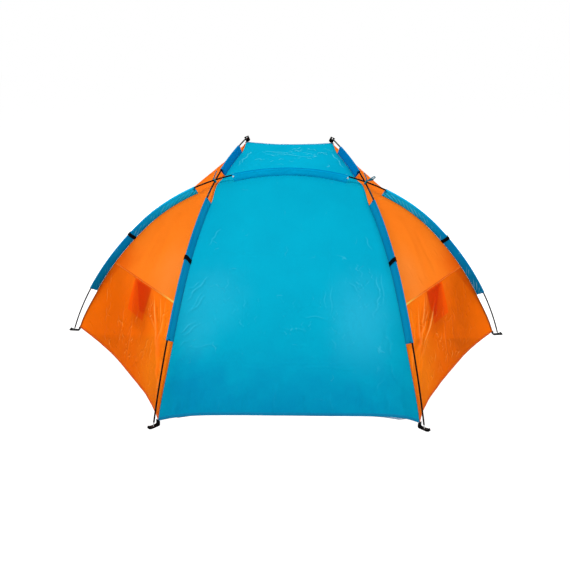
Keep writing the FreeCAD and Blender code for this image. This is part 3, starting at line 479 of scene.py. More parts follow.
# ---------------------------------------------------------------- rear wall
# One tall panel of blue taffeta, sewn into the two rear sleeves and the top sleeve, with a turned-up
# hem that is cut in a shallow curve and touches the ground between the feet. It hangs smooth near the
# top and keeps short creases, with painted highlights along them, and the folds of its packing lower down.
REAR_CORNER = Vector((0.641688, 0.649459, 0.022))
FRONT_CORNER = Vector((1.312973, -0.524208, 0.022))
CROSSING_CORNER = Vector((0.400435, -0.167222, 1.022850))
SEAM_START, SEAM_TIP = 0.030, 1.923216                                  # along the rods
CORNER_INSET, CROSSING_INSET, SEAM_INSET = 0.020, 0.028, 0.0407         # from the rod


def seam_beside(line, corner, crossing, low_sleeve, high_sleeve, end=()):
    """The seam beside a rod, drawn in to the foot corner and to the point where the rods cross."""
    stops = [(SEAM_START, CORNER_INSET), *[(s, SEAM_INSET) for s in low_sleeve], (crossing, CROSSING_INSET),
             *[(s, SEAM_INSET) for s in high_sleeve], *end]
    lengths = [s for s, _ in stops]

    def inset(s):
        for (a, low), (b, high) in zip(stops, stops[1:]):
            if s <= b:
                return low + (high - low) * float(soft_step((s - a) / (b - a)))
        return stops[-1][1]

    def plain(s):
        point, _, across = line.at(s)
        return point + across * inset(s)

    def curve(s):
        point = plain(s)
        for at, target in ((SEAM_START, corner), (crossing, CROSSING_CORNER)):
            where = lengths.index(at)
            reach = lengths[where + 1] - at if s >= at else at - lengths[where - 1]
            point = point + (target - plain(at)) * float(soft_step(1 - abs(s - at) / reach))
        return point
    return curve


roof_seam = seam_beside(ROOF_POLE, REAR_CORNER, ROOF_CROSSING, REAR_SLEEVE, ROOF_SLEEVE,
                        [(SEAM_TIP, CORNER_INSET)])
arch_seam = seam_beside(ARCH, FRONT_CORNER, ARCH_CROSSING, ARCH_SLEEVE, (TOP_SLEEVE[0], ARCH_TOP))


def flipped(point):
    return Vector((-point.x, point.y, point.z))


def part_of(curve, first, last, flip=False):
    def part(t):
        point = curve(first + (last - first) * t)
        return flipped(point) if flip else point
    return part


def ground_hem(a, b, bow, flatness):
    """A bottom hem from corner to corner, cut in by bow and down on the ground between them."""
    def curve(t):
        point = a + (b - a) * t + bow * (1 - abs(2 * t - 1) ** flatness)
        return Vector((point.x, point.y, 0.002 + (point.z - 0.002) * (2 * t - 1) ** 6))
    return curve


def filled(bottom, top, left, right, rows, columns):
    """A grid of points that fills four edge curves, and its cut: metres across and up."""
    v, u = np.linspace(0, 1, rows)[:, None, None], np.linspace(0, 1, columns)[None, :, None]
    sides = [np.array([f(t) for t in np.linspace(0, 1, rows)])[:, None] for f in (left, right)]
    ends = [np.array([f(t) for t in np.linspace(0, 1, columns)])[None] for f in (bottom, top)]
    flat = ((1 - u) * ends[0][:, :1] + u * ends[0][:, -1:]) * (1 - v) \
        + ((1 - u) * ends[1][:, :1] + u * ends[1][:, -1:]) * v
    grid = sides[0] * (1 - u) + sides[1] * u + ends[0] * (1 - v) + ends[1] * v - flat
    steps = np.linalg.norm(np.diff(grid, axis=1), axis=2)
    across = np.concatenate([np.zeros((rows, 1)), np.cumsum(steps, axis=1)], axis=1)
    rise = np.linalg.norm(np.diff(grid, axis=0), axis=2).mean(axis=1)
    return grid, as_cut(across - across[:, -1:] / 2, np.concatenate([[0], np.cumsum(rise)])[:, None])


def outward(grid):
    """Unit normals of a grid that face away from the middle of the shelter."""
    normal = np.cross(np.gradient(grid, axis=1), np.gradient(grid, axis=0))
    normal /= np.maximum(np.linalg.norm(normal, axis=2, keepdims=True), 1e-12)
    middle = np.array([0.0, 0.0, 0.25])
    return normal * (1.0 if ((grid - middle) * normal).sum(axis=2).mean() > 0 else -1.0)


def waves(cut, *layers):
    """Height of random waves: the size, seed and height of each layer."""
    return sum(ripple(cut, size, seed) * height for size, seed, height in layers)


def ridges(cut, size, seed, height):
    """Height of sharp random creases."""
    return np.clip(0.5 - 2 * np.abs(ripple(cut, size, seed)), 0, 1) ** 2 * height


def folds(cut, lines):
    """Height of long soft folds, each from one place on the cut to another: half width and height."""
    total = np.zeros(cut.shape[:2])
    for x0, y0, x1, y1, width, height in lines:
        way = np.array([x1 - x0, y1 - y0])
        length = np.linalg.norm(way)
        way /= length
        rest = cut - np.array([x0, y0])
        t = rest @ way / length
        off = rest @ np.array([-way[1], way[0]]) + 0.004 * np.sin(t * 9 + x0 * 50)
        taper = np.sin(math.pi * np.clip(t, 0, 1)) ** 0.6 * ((t > 0) & (t < 1))
        total += height * taper * np.exp(-(off / width) ** 2)
    return total


def in_mm(*lines):
    return [tuple(value / 1000 for value in line) for line in lines]


def short_folds(count, region, heading, spread, length, width, height, seed):
    """Many short folds at random places in a region of the cut, about one heading in degrees."""
    chance = random.Random(seed)
    lines = []
    for _ in range(count):
        x, y = chance.uniform(region[0], region[2]), chance.uniform(region[1], region[3])
        angle = math.radians(heading + chance.gauss(0, spread))
        reach = chance.uniform(0.4, 1.0) * length / 2
        dx, dy = reach * math.cos(angle), reach * math.sin(angle)
        lines.append((x - dx, y - dy, x + dx, y + dy, width * chance.uniform(0.7, 1.3),
                      height * chance.uniform(0.4, 1.0) * chance.choice((1, 1, -0.7))))
    return lines


def edge_distance(cut, edges):
    """Distance in metres from the sewn edges of a grid, by name."""
    across, up = cut[..., 0], cut[..., 1]
    away = {"bottom": up, "top": up[-1:] - up, "left": across - across[:, :1], "right": across[:, -1:] - across}
    return np.minimum.reduce([away[edge] for edge in edges])


def flat_size(cut):
    return float(np.ptp(cut[..., 0])), float(np.ptp(cut[..., 1]))


def area_of(grid):
    across, up = np.diff(grid, axis=1)[:-1], np.diff(grid, axis=0)[:, :-1]
    return float(np.linalg.norm(np.cross(across, up), axis=2).sum())


def hang_cloth(name, grid, cut, relief, sewn, material, node, seed):
    """A panel with its relief, puckered and held flat along its sewn edges; gives its points."""
    away = edge_distance(cut, sewn)
    hold = soft_step(away / 0.030)
    pucker = np.exp(-(away / 0.016) ** 2) * np.clip(away / 0.004, 0, 1)
    gathers = waves(cut, (0.011, seed + 31, 0.0011), (0.028, seed + 33, 0.0009))
    normal = outward(grid)
    points = grid + normal * (relief * hold + pucker * gathers)[..., None]
    across = np.maximum(np.abs(np.gradient(cut[..., 0], axis=1)), 1e-6)
    up = np.maximum(np.abs(np.gradient(cut[..., 1], axis=0)), 1e-6)
    shown = relief * hold + 0.2 * pucker * gathers
    bend = np.gradient(np.gradient(shown, axis=1) / across, axis=1) / across \
        + np.gradient(np.gradient(shown, axis=0) / up, axis=0) / up
    # The crest from the bend of the relief: painted highlight on ridges, painted shade in hollows.
    crest = -bend / 130 * soft_step(away / 0.012)
    middle = tuple(slice(count // 2, count // 2 + 1) for count in grid.shape[:2])
    face = np.cross(np.gradient(grid, axis=1)[middle], np.gradient(grid, axis=0)[middle])
    piece = lay_mesh(name, points, cut, material, float((face * normal[middle]).sum()) < 0, crest)
    hand_over(piece, node)
    wide, high = flat_size(cut)
    min(area_of(grid), wide * high)
    return points


# The washes are painted shading: light patches of painted sheen at both sides halfway up, and painted shade
# towards the bottom and at one lower corner.
rear_cloth = cloth_material(
    "Rear wall taffeta", "009ebc 0096b5 54cee8 009ebe", 0.0012, 0.38, 0.10, shine=0.02,
    painted_shading=((-0.36, 0.48, 0.22, 0.34, 0.34, "34acce"),
            (0.40, 0.60, 0.24, 0.22, 0.24, "34b0ce"),
            (0.47, 0.42, 0.14, 0.18, 0.20, "38b0ce"),
            (0.00, -0.10, 1.30, 0.52, 0.95, "007ea8"),
            (0.50, 0.14, 0.24, 0.22, 0.50, "0076a6")))
level_hem = ground_hem(flipped(REAR_CORNER), REAR_CORNER, Vector((0, -1, 0)) * 0.098, 6)


def rear_hem_curve(t):
    """The rear hem, lifted a little off the ground by the pull of the left rear foot."""
    return level_hem(t) + Vector((0, 0, 0.008)) * (t / 0.06 * math.exp(1 - t / 0.06))


over_wall = part_of(arch_seam, ARCH_CROSSING, ARCH_TOP)


def arch_across(t):
    return flipped(over_wall(2 * t)) if t < 0.5 else over_wall(2 * (1 - t))


rear_grid, rear_cut = filled(
    rear_hem_curve, arch_across, *[part_of(roof_seam, SEAM_START, ROOF_CROSSING, flip) for flip in (True, False)],
    286, 300)
rear_relief = (
    waves(rear_cut, (0.42, 2.5, 0.0045), (0.16, 5.5, 0.0016)) + ridges(rear_cut, 0.085, 9.5, 0.0022)
    * soft_step(ripple(rear_cut, 0.30, 6.2) * 1.6 + 0.35) * soft_step((0.86 - rear_cut[..., 1]) / 0.20)
    + folds(rear_cut, in_mm(
        (560, 430, 475, 490, 6, 2.6), (545, 410, 450, 478, 6, 2.2), (510, 525, 430, 622, 7, 3),
        (525, 520, 440, 645, 6, 2.2), (505, 630, 415, 720, 7, 3), (525, 655, 450, 695, 6, 2),
        (530, 590, 480, 660, 6, 1.8), (570, 360, 500, 400, 6, 1.5), (530, 352, 350, 358, 5, 1.9),
        (470, 338, 400, 342, 4, 1), (-60, 498, -200, 492, 5, 2), (40, 436, -90, 428, 5, 2),
        (-50, 245, -350, 238, 4, 1.2), (250, 235, 50, 240, 4, 1), (-210, 500, -212, 665, 4, 1.8),
        (-180, 530, -178, 640, 4, 1.4), (-300, 690, -360, 630, 6, 2.2), (-330, 700, -385, 650, 6, 1.8),
        (-440, 540, -462, 640, 6, 2.6), (-462, 620, -440, 730, 5, 2.4), (-480, 560, -470, 750, 5, 2),
        (-420, 500, -440, 560, 5, 1.8), (-240, 330, -215, 395, 5, 1.6), (-320, 350, -300, 520, 16, 3),
        (-380, 380, -340, 600, 18, 2.6), (-480, 340, -500, 480, 12, 2.2), (-520, 300, -500, 420, 8, 1.8),
        (-540, 180, -500, 300, 8, 1.6), (-430, 120, -480, 200, 9, 1.8), (415, 925, 365, 990, 6, 2.2),
        (430, 890, 385, 950, 6, 1.8), (-390, 960, -425, 870, 6, 1.8), (20, 820, 15, 870, 4, 0.9),
        (310, 700, 330, 640, 5, 1.4))
            + short_folds(46, (-0.30, 0.40, 0.42, 0.58), 85, 24, 0.055, 0.0045, 0.0013, 11)
            + short_folds(30, (-0.50, 0.20, 0.45, 0.42), 8, 22, 0.060, 0.0045, 0.0011, 12)
            + short_folds(26, (-0.50, 0.52, -0.32, 0.76), 75, 30, 0.060, 0.0050, 0.0016, 13)
            + short_folds(22, (0.20, 0.45, 0.46, 0.75), 60, 35, 0.060, 0.0050, 0.0012, 14)
            + short_folds(24, (-0.55, 0.04, 0.55, 0.22), 0, 20, 0.070, 0.0050, 0.0009, 15)
            + [(x, -0.01, x * 0.97, 0.13 + 0.04 * math.sin(x * 31), 0.014, 0.0035 * math.sin(x * 23))
               for x in np.linspace(-0.58, 0.58, 17)]
            # folds of the packing: two upright and three level, hardly raised
            + [(x, 0.02, x, 1.05, 0.003, 0.0006) for x in (-0.205, 0.235)]
            + [(-0.56, y, 0.56, y + 0.004, 0.003, 0.0007) for y in (0.262, 0.548, 0.826)]))
rear_points = hang_cloth("rear_wall_cloth", rear_grid, rear_cut, rear_relief, ("top", "left", "right"),
                         rear_cloth, "rear_panel", 1.0)


# ---------------------------------------------------------------- roof
# The blue panel in front of the arch: sewn into the top sleeve behind and the two roof sleeves beside
# it. Its free front edge is turned in, and sags a little between the two tips.
roof_cloth = cloth_material("Roof taffeta", "06a6c6 029cbe 78def0 00a5c8", 0.0012, 0.75, 0.16, shine=0.0)
TIP = roof_seam(SEAM_TIP)


def roof_front(t):
    point = flipped(TIP) + (TIP - flipped(TIP)) * t
    return point + Vector((0, 0.022, -0.008)) * (4 * t * (1 - t))


roof_grid, roof_cut = filled(
    arch_across, roof_front, *[part_of(roof_seam, ROOF_CROSSING, SEAM_TIP, flip) for flip in (True, False)],
    120, 190)
roof_relief = (
    waves(roof_cut, (0.24, 21.5, 0.0035), (0.09, 23.5, 0.0012))
    + ridges(roof_cut, 0.06, 24.5, 0.0016) * soft_step(roof_cut[..., 1] / 0.2)
    + folds(roof_cut, in_mm(
        (150, 400, 10, 365, 7, 3), (125, 375, -10, 350, 6, 2.4), (75, 335, -70, 310, 7, 2.8),
        (-40, 290, -120, 300, 6, 1.8), (160, 350, 60, 330, 5, 1.4), (-60, 380, -160, 400, 5, 1.2),
        (245, 330, 285, 220, 6, 2.4), (270, 300, 300, 190, 5, 1.8), (225, 390, 250, 320, 5, 1.8),
        (-240, 390, -290, 260, 6, 2), (-270, 300, -310, 180, 5, 1.6), (330, 130, 290, 60, 6, 1.8),
        (-330, 130, -280, 60, 6, 1.8))
            + short_folds(30, (-0.22, 0.16, 0.22, 0.44), 172, 22, 0.075, 0.0050, 0.0020, 21)))
roof_points = hang_cloth("roof_cloth", roof_grid, roof_cut, roof_relief, ("bottom", "left", "right"),
                         roof_cloth, "roof_panel", 2.0)


# ---------------------------------------------------------------- side wings behind the arch
# Orange taffeta between a rear sleeve and an arch sleeve, in two cuts joined by a level felled seam.
# The lower cut is pulled to the rear foot in upright pleats and its hem is cut in between the feet.
WING_SEAM_HEIGHT = 0.510
UP = Vector((0, 0, 1))


def length_at(curve, crossing, height):
    """The length along a seam, below the crossing, at which it reaches a height."""
    first, last = SEAM_START, crossing
    for _ in range(50):
        middle = (first + last) / 2
        first, last = (middle, last) if curve(middle).z < height else (first, middle)
    return first


def line_between(a, b):
    return lambda t: a + (b - a) * t


crossing_rise = CROSSING_CORNER.z - 0.0015
roof_at_seam, roof_at_top = [length_at(roof_seam, ROOF_CROSSING, z) for z in (WING_SEAM_HEIGHT, crossing_rise)]
arch_at_seam, arch_at_top = [length_at(arch_seam, ARCH_CROSSING, z) for z in (WING_SEAM_HEIGHT, crossing_rise)]
wing_seam = line_between(roof_seam(roof_at_seam), arch_seam(arch_at_seam))
wing_inward = (FRONT_CORNER - REAR_CORNER).cross(UP).normalized()
wing_hem_curve = ground_hem(REAR_CORNER, FRONT_CORNER, wing_inward * 0.064, 3)
lower_grid, lower_cut = filled(wing_hem_curve, wing_seam, part_of(roof_seam, SEAM_START, roof_at_seam),
                               part_of(arch_seam, SEAM_START, arch_at_seam), 150, 299)
upper_grid, upper_cut = filled(wing_seam, line_between(roof_seam(roof_at_top), arch_seam(arch_at_top)),
                               part_of(roof_seam, roof_at_seam, roof_at_top),
                               part_of(arch_seam, arch_at_seam, arch_at_top), 130, 150)
POCKET_TOP, POCKET_WAY = Vector((0.793843, -0.018787, 0.504)), Vector((-0.550758, 0.834665, 0))
POCKET_HALF, POCKET_DEPTH, POCKET_ROUND = 0.0985, 0.1985, 0.0637        # the last is its girth over two pi


def on_cut(grid, cut, place):
    """The point of a cut that lies nearest to a place on the standing shelter."""
    nearest = np.linalg.norm(grid - np.array(place), axis=2).argmin()
    return cut.reshape(-1, 2)[nearest]


# Where the pocket hangs, the wing gets a panel of painted shade: the darker red of light held back by the pocket.
pocket_ends = [on_cut(lower_grid, lower_cut, POCKET_TOP + POCKET_WAY * x - UP * z)
               for x in (-POCKET_HALF, POCKET_HALF) for z in (0.0, POCKET_DEPTH)]
pocket_low, pocket_high = np.min(pocket_ends, axis=0), np.max(pocket_ends, axis=0)
behind = (*(pocket_low + pocket_high) / 2, *(pocket_high - pocket_low) / 2)
# The upper cut's washes are painted shading: painted light towards the rear pole, painted shade low on the arch
# side.
upper_wing_cloth = cloth_material(
    "Upper wing taffeta", "ff8220 f87818 ffaa5a ff841a", 0.0006, 0.25, 0.38, shine=0.02,
    painted_shading=((-0.20, 0.12, 0.22, 0.30, 0.45, "ff9442"),
            (0.40, 0.04, 0.30, 0.20, 0.85, "ec5c04")))
wing_points = {}
for (side, word), fresh, seed, spread, wear_and_shade in ((SIDES[0], 40.0, 5, 0.30, 0.66), (SIDES[1], 60.0, 9, 0.42, 1.00)):
    # The lower cut is painted a darker orange than the upper: painted shade. Its washes are painted shading: a
    # lighter band under the felled seam, painted shade over the outer part and at the front foot, and painted
    # light near the rear pole.
    lower_wing_cloth = cloth_material(
        f"Lower wing taffeta, {word}", "f46a04 e66002 ffba60 ff7003", 0.0016, 0.95, 0.44,
        shine=0.02, sheer=0.12, hollow_shade=0.60, painted_shading=(
            (0.00, 0.52, 1.20, 0.16, 0.50, "ff7e1a"),
            (0.34, 0.28, 0.48, 0.56, wear_and_shade, "a04200"),
            (0.60, 0.12, 0.32, 0.32, 0.80, "b85204"),
            (-0.42, 0.20, 0.36, 0.50, 0.95, "ff8614")),
        panels=((*map(float, behind), 0.62, "e22c00"),))
    chance = random.Random(seed)
    (start, _), (top_start, high) = lower_cut[0, 0], lower_cut[-1, 0]
    pleats = []
    for k in range(12):
        share = (k + chance.uniform(0.2, 0.8)) / 12
        low = chance.uniform(0.02, 0.20) if share < 0.6 else chance.uniform(0.10, 0.30)
        top = chance.uniform(0.80, 1.0) * high
        pleats.append((start + 0.03 + share * spread * 0.55, low, top_start + 0.03 + share * spread, top,
                       0.0100 * chance.uniform(0.8, 1.2), 0.0130 * chance.uniform(0.5, 1.0)))
    lower_relief = (
        waves(lower_cut, (0.30, fresh + 1, 0.0050), (0.10, fresh + 2, 0.0020))
        + ridges(lower_cut / (0.8, 1.3), 0.070, fresh + 3, 0.0034)
        * soft_step(ripple(lower_cut, 0.25, fresh + 4) * 1.5 + 0.5)
        + folds(lower_cut, pleats
                + short_folds(56, (-0.40, 0.06, 0.45, 0.46), 82, 26, 0.100, 0.0075, 0.0036, 31 + side)
                + short_folds(22, (-0.30, 0.05, 0.60, 0.30), 30, 30, 0.100, 0.0070, 0.0028, 41 + side)
                + in_mm((-20, 20, 30, 340, 10, 3.2), (120, 60, 170, 400, 9, 2.4))))
    upper_relief = (
        waves(upper_cut, (0.34, fresh + 6, 0.0045), (0.12, fresh + 7, 0.0010))
        + folds(upper_cut, short_folds(14, (-0.30, 0.02, 0.30, 0.20), 85, 25, 0.080, 0.0070, 0.0012, 51 + side)
                + in_mm((-60, 20, 60, 460, 30, 2.4), (100, 20, 110, 340, 24, -2.2))))
    wing_points[word] = [
        hang_cloth(f"{word}_{part}_wing_cloth", grid if side > 0 else mirrored(grid), cut, relief,
                   (joined, "left", "right"), material, f"{word}_wing_{part}", own + side)
        for part, grid, cut, relief, joined, material, own in (
                ("lower", lower_grid, lower_cut, lower_relief, "top", lower_wing_cloth, 3.0),
                ("upper", upper_grid, upper_cut, upper_relief, "bottom", upper_wing_cloth, 5.0))]


# ---------------------------------------------------------------- front wings
# A long orange triangle on each side, from the foot of the arch up to the roof sleeve. Its rear edge is
# sewn into the arch sleeve, its top into the roof sleeve, and its front edge is free and turned in.
front_wing_cloth = cloth_material("Front wing taffeta", "fa7c1e f07016 ff963c f67014", 0.0006,
                                  0.10, 0.26, shine=0.0, hollow_shade=0.10)
behind_edge = part_of(arch_seam, SEAM_START, ARCH_CROSSING)


def front_edge(t):
    chord = FRONT_CORNER + (TIP - FRONT_CORNER) * t
    point = chord + (behind_edge(t) - chord) * (0.97 * (1 - t) ** 0.82)
    return point + Vector((0.8, 0, 0.6)) * (0.034 * math.sin(math.pi * max(0.0, 2 * t - 1)))


front_grid, front_cut = filled(line_between(behind_edge(0.0), front_edge(0.0)),
                               part_of(roof_seam, ROOF_CROSSING, SEAM_TIP), behind_edge, front_edge, 240, 100)
front_points = {}
for side, word in SIDES:
    front_relief = soft_step((front_cut[:, -1:, 0] - front_cut[:, :1, 0]) / 0.10) * (
        waves(front_cut, (0.22, 71.0 + side, 0.0035), (0.08, 73.0 + side, 0.0012))
        + folds(front_cut, short_folds(14, (-0.16, 0.50, 0.16, 1.30), 70, 20, 0.14, 0.0130, 0.0024, 61 + side)))
    front_points[word] = hang_cloth(
        word + "_front_wing_cloth", front_grid if side > 0 else mirrored(front_grid), front_cut, front_relief,
        ("left", "top"), front_wing_cloth, word + "_front_wing", 7.0 + side)


# ---------------------------------------------------------------- hems, felled seams and bindings
# Free edges are turned in twice and stitched down. The two cuts of a wing meet in a flat felled seam.
# Along the rods the cut edges of sleeve and panels are bound together in a strip that stands inside.
NOTHING, EVERYTHING = ("select_all", {"action": "DESELECT"}), ("select_all", {"action": "SELECT"})
NORMALS_OUT = ("normals_make_consistent", {"inside": False})
HEM_THICK, SEAM_THICK, BINDING_THICK = 0.0012, 0.0013, 0.0014
HEM_FOLD, BINDING_FOLD = 0.0006, 0.0004      # how far the fold reaches past the edge of a panel


def edit(piece, *steps):
    """Works on the mesh of a piece: each step is the name of an operator and its settings."""
    select_only(piece)
    bpy.ops.object.mode_set(mode="EDIT")
    for step, settings in steps:
        getattr(bpy.ops.mesh, step)(**settings)
    bpy.ops.object.mode_set(mode="OBJECT")


def flat_band(name, band, cloth, thickness, past_edge=0.0):
    """A closed flat strip over a few rows of a panel's own points; row 0 is its free edge."""
    away = band[0] - band[1]
    away /= np.maximum(np.linalg.norm(away, axis=1, keepdims=True), 1e-9)
    edge = band.copy()
    edge[0] += away * past_edge
    half = outward(band) * thickness / 2
    ring = np.concatenate([(edge + half)[::-1], (edge[:1] + away * thickness * 0.4), edge - half,
                           edge[-1:] - away * thickness * 0.4, (edge + half)[-1:]])
    across = run_along(edge[:, band.shape[1] // 2])
    around = np.concatenate([across[::-1], [0.0], across, across[-1:], across[-1:]])
    piece = lay_mesh(name, ring.transpose(1, 0, 2), as_cut(run_along(edge[0])[:, None], around[None, :]), cloth)
    edit(piece, EVERYTHING, ("remove_doubles", {"threshold": 0.00002}), NOTHING, ("select_non_manifold", {}),
         ("fill_holes", {"sides": 0}), EVERYTHING, NORMALS_OUT)
    hand_over(piece)


# The blue hems are a darker blue than the panels: painted shade along their turned fold.
hem_blue = cloth_material("Blue hem", "0080aa 0076a0 28a0c8 0096d2", 0.0004, 0.3, 0.08, "146ea0", 0.0095)
hem_orange = cloth_material("Orange hem", "f47a14 ea6e0e ff9632 fa760e", 0.0004, 0.3, 0.36, "d25a0e", 0.0095)
# The felled seam's wash is a painted highlight: a light yellow towards its end at the rear pole.
felled_orange = cloth_material(
    "Felled seam", "f46c0c ee660a ffb45a ff8c1a", 0.0003, 0.3, 0.14, "ffbe50",
    0.0022, painted_shading=((0.0, 0.003, 0.30, 0.5, 1.0, "ffde60"),))
binding_tape = cloth_material("Binding tape", "183c60 123254 325a82 143c64", 0.0003, 0.2, 0.04, "3c648c", 0.0065)
flat_band("rear_wall_hem", rear_points[:4], hem_blue, HEM_THICK, HEM_FOLD)
flat_band("roof_front_hem", roof_points[::-1][:4], hem_blue, HEM_THICK, HEM_FOLD)
for side, word in SIDES:
    lower, upper = wing_points[word]
    front = front_points[word][:, ::-1][:, :6].transpose(1, 0, 2)
    flat_band(word + "_lower_wing_hem", lower[:5], hem_orange, HEM_THICK, HEM_FOLD)
    flat_band(word + "_front_wing_hem", front, hem_orange, HEM_THICK, HEM_FOLD)
    flat_band(word + "_wing_felled_seam", np.concatenate([lower[-2:-1, ::2], upper[:2]]), felled_orange,
              SEAM_THICK)


def bind_seam(name, line, seam, last, side, lean=Vector((0, 0, 0))):
    """The bound edges inside a seam: a strip that carries on from the sleeve's flat part.

    The lean turns its foot between the two panels, clear of a wall whose hem is cut in.
    """
    rows, first = [], SEAM_START + 0.004
    for s in np.linspace(first, last, int((last - first) / 0.008) + 2).tolist():
        way = (line.at(s)[2] + lean * float(soft_step(1 - s / 0.8))).normalized()
        wave = 1 + 0.05 * math.sin(s * 210)
        rows.append([seam(s) + way * (wave * t) for t in (0.010, 0.007, 0.0035, 0.0004)])
    band = np.array(rows).transpose(1, 0, 2)
    flat_band(name, band if side > 0 else mirrored(band), binding_tape, BINDING_THICK, BINDING_FOLD)


for side, word in SIDES:
    bind_seam(word + "_roof_pole_binding", ROOF_POLE, roof_seam, 1.920, side, Vector((0.6, -0.35, 0)))
    bind_seam(word + "_arch_binding", ARCH, arch_seam, ARCH_TOP, side)


# ---------------------------------------------------------------- bartacks at the sleeve mouths
# Dense zigzag stitches, 9 mm long, that lock each sleeve mouth beside the rod: white at the mouths of
# the top sleeve, where they show against the blue, and blue at all the others.
white_thread = hard_material("White bonded thread", "eceeec", "fafafa", 1500.0, 0.3, 0.6)
blue_thread = hard_material("Blue bonded thread", "006096", "1478aa", 1500.0, 0.3, 0.6, shine=0.1)
IN_MOUTH = 0.004          # from the edge of a mouth


def to_side(side):
    """The function that moves a point of the right side to one side of the shelter."""
    return Vector if side > 0 else flipped


def bartack(place, along, across, facing):
    bpy.ops.mesh.primitive_cylinder_add(vertices=8, radius=0.0006, depth=0.0110, location=(0, 0, 0))
    stitch = bpy.context.object
    edit(stitch, EVERYTHING, ("bevel", {"offset": 0.0003, "segments": 2}))
    made = []
    for k in range(8):
        copy = stitch.copy()
        copy.data = stitch.data.copy()
        bpy.context.scene.collection.objects.link(copy)
        lean = along * (0.16 if k % 2 else -0.16) + across
        turn = lean.to_track_quat("Z", "Y").to_matrix().to_4x4()
        copy.data.transform(Matrix.Translation(place + along * (0.0011 * (k - 3.5)) + facing * 0.0002) @ turn)
        made.append(copy)
    bpy.data.objects.remove(stitch)
    return made


def join_pieces(name, made, material=None):
    select_only(*made)
    bpy.ops.object.join()
    made[0].name = name
    if material:
        made[0].data.materials.clear()
        made[0].data.materials.append(material)
    return made[0]


for name, thread, line, marks in (
        ("top_sleeve_bartacks", white_thread, ARCH, (TOP_SLEEVE[0] + IN_MOUTH,)),
        ("arch_sleeve_bartacks", blue_thread, ARCH, (ARCH_SLEEVE[1] - IN_MOUTH, ARCH_SLEEVE[0] + IN_MOUTH)),
        ("roof_pole_sleeve_bartacks", blue_thread, ROOF_POLE, [
            s for first, last in (REAR_SLEEVE, ROOF_SLEEVE) for s in (first + IN_MOUTH, last - IN_MOUTH)])):
    tacks = []
    for s in marks:
        point, travel, across = line.at(s)
        aside = travel.cross(across)
        aside = aside if aside.y > 0 else -aside
        for side, _ in SIDES:
            place = point + across * 0.0050 + aside * 0.0074
            tacks += bartack(*map(to_side(side), (place, travel, across, aside)))
    tacked = join_pieces(name, tacks, thread)
    bpy.ops.object.shade_smooth()
    hand_over(tacked)


# ---------------------------------------------------------------- groundsheet
# A woven polyethylene sheet, laid flat inside the hems with its corners cut off. It keeps the square
# folds of its packing and lies in low ripples.
floor_cloth = cloth_material("Groundsheet", "96b6cc 8aacc4 b4cede 145a96", 0.0008, 0.4, 0.04)


def inside_hem(hem, way, length):
    """Points on the ground inside a hem, but for its two corners."""
    corner = 0.090 / length
    points = [hem(corner + (1 - 2 * corner) * i / 16) + way * 0.010 for i in range(17)]
    return [Vector((p.x, p.y, 0.0004)) for p in points]


def along_points(points):
    def curve(t):
        place = min(max(t, 0.0), 1.0) * (len(points) - 1)
        i = min(int(place), len(points) - 2)
        return points[i].lerp(points[i + 1], place - i)
    return curve


rear_line = inside_hem(rear_hem_curve, Vector((0, -1, 0)), 2 * REAR_CORNER.x)
wing_line = inside_hem(wing_hem_curve, wing_inward, (FRONT_CORNER - REAR_CORNER).length)
floor_right = [rear_line[-1]] + wing_line


def front_floor(t):
    return flipped(wing_line[-1]).lerp(wing_line[-1], t) + Vector((0, 0.040, 0)) * (4 * t * (1 - t))


floor_grid, floor_cut = filled(along_points(rear_line), front_floor, along_points([*map(flipped, floor_right)]),
                               along_points(floor_right), 110, 160)
inside_floor = soft_step(edge_distance(floor_cut, ("bottom", "top", "left", "right")) / 0.08)
floor_relief = inside_floor * (
    np.clip(ripple(floor_cut, 0.30, 91.0), 0, 1) * 0.006 + np.clip(ripple(floor_cut, 0.11, 92.0), 0, 1) * 0.0022
    + folds(floor_cut, [(x, 0.03, x, 1.10, 0.005, 0.0016) for x in (-0.62, -0.20, 0.22, 0.64)]
            + [(-1.2, y, 1.2, y, 0.005, 0.0016) for y in (0.30, 0.72)]))
groundsheet = lay_mesh("groundsheet", floor_grid + floor_relief[..., None] * np.array(UP), floor_cut, floor_cloth)
if groundsheet.data.polygons[5000].normal.z < 0:
    groundsheet.data.flip_normals()
apply_modifier(groundsheet, "SOLIDIFY", thickness=0.0003, offset=1.0)
hand_over(groundsheet, "floor_sheet")
flat_size(floor_cut)
area_of(floor_grid)


# ---------------------------------------------------------------- webbing at the feet
# Black polypropylene webbing, 30 mm wide, sewn to each fabric corner. It runs down to the ground and
# out under the pole, where a metal eyelet takes the rod's pin. Its end is doubled into a loop with a
# second eyelet for a peg, and that loop folds up.
def webbing_group():
    """Flat woven webbing: slanting ribs that meet along the middle, with painted shade in the gaps between them,
    and firm selvedges.
    """
    nodes, given, give = new_group("Webbing weave", {
        "Run": "Vector", "Colour": "Color", "Painted gap shade": "Color", "Width": 0.025, "Rib": 0.0021},
                                   {"Colour": "Color", "Height": "Float", "Edge": "Vector"})
    parts = nodes.add("SeparateXYZ", {0: given["Run"]})
    fold = nodes.maths("PINGPONG", parts[1], nodes.maths("MULTIPLY", given["Width"], 0.5))
    slant = nodes.maths("MULTIPLY_ADD", fold, 0.7, parts[0])
    turn = nodes.maths("MULTIPLY", nodes.maths("DIVIDE", slant, given["Rib"]), 6.28318)
    rib = nodes.ramp(nodes.maths("SINE", turn), -1.0, 0.6)
    cord = nodes.maths("SINE", nodes.maths("MULTIPLY", fold, 5200.0))
    height = nodes.maths("MULTIPLY_ADD", rib, 0.00022, nodes.maths("MULTIPLY", cord, 0.00004))
    # Painted shade: the gaps between the ribs take the darker gap dye.
    return give(Colour=nodes.blend(rib, given["Painted gap shade"], given["Colour"]),
                Height=nodes.maths("MULTIPLY_ADD", nodes.noise(given["Run"], 1400.0), 0.00006, height),
                Edge=nodes.add("CombineXYZ", {0: parts[0], 1: fold})[0])


WEBBING = webbing_group()


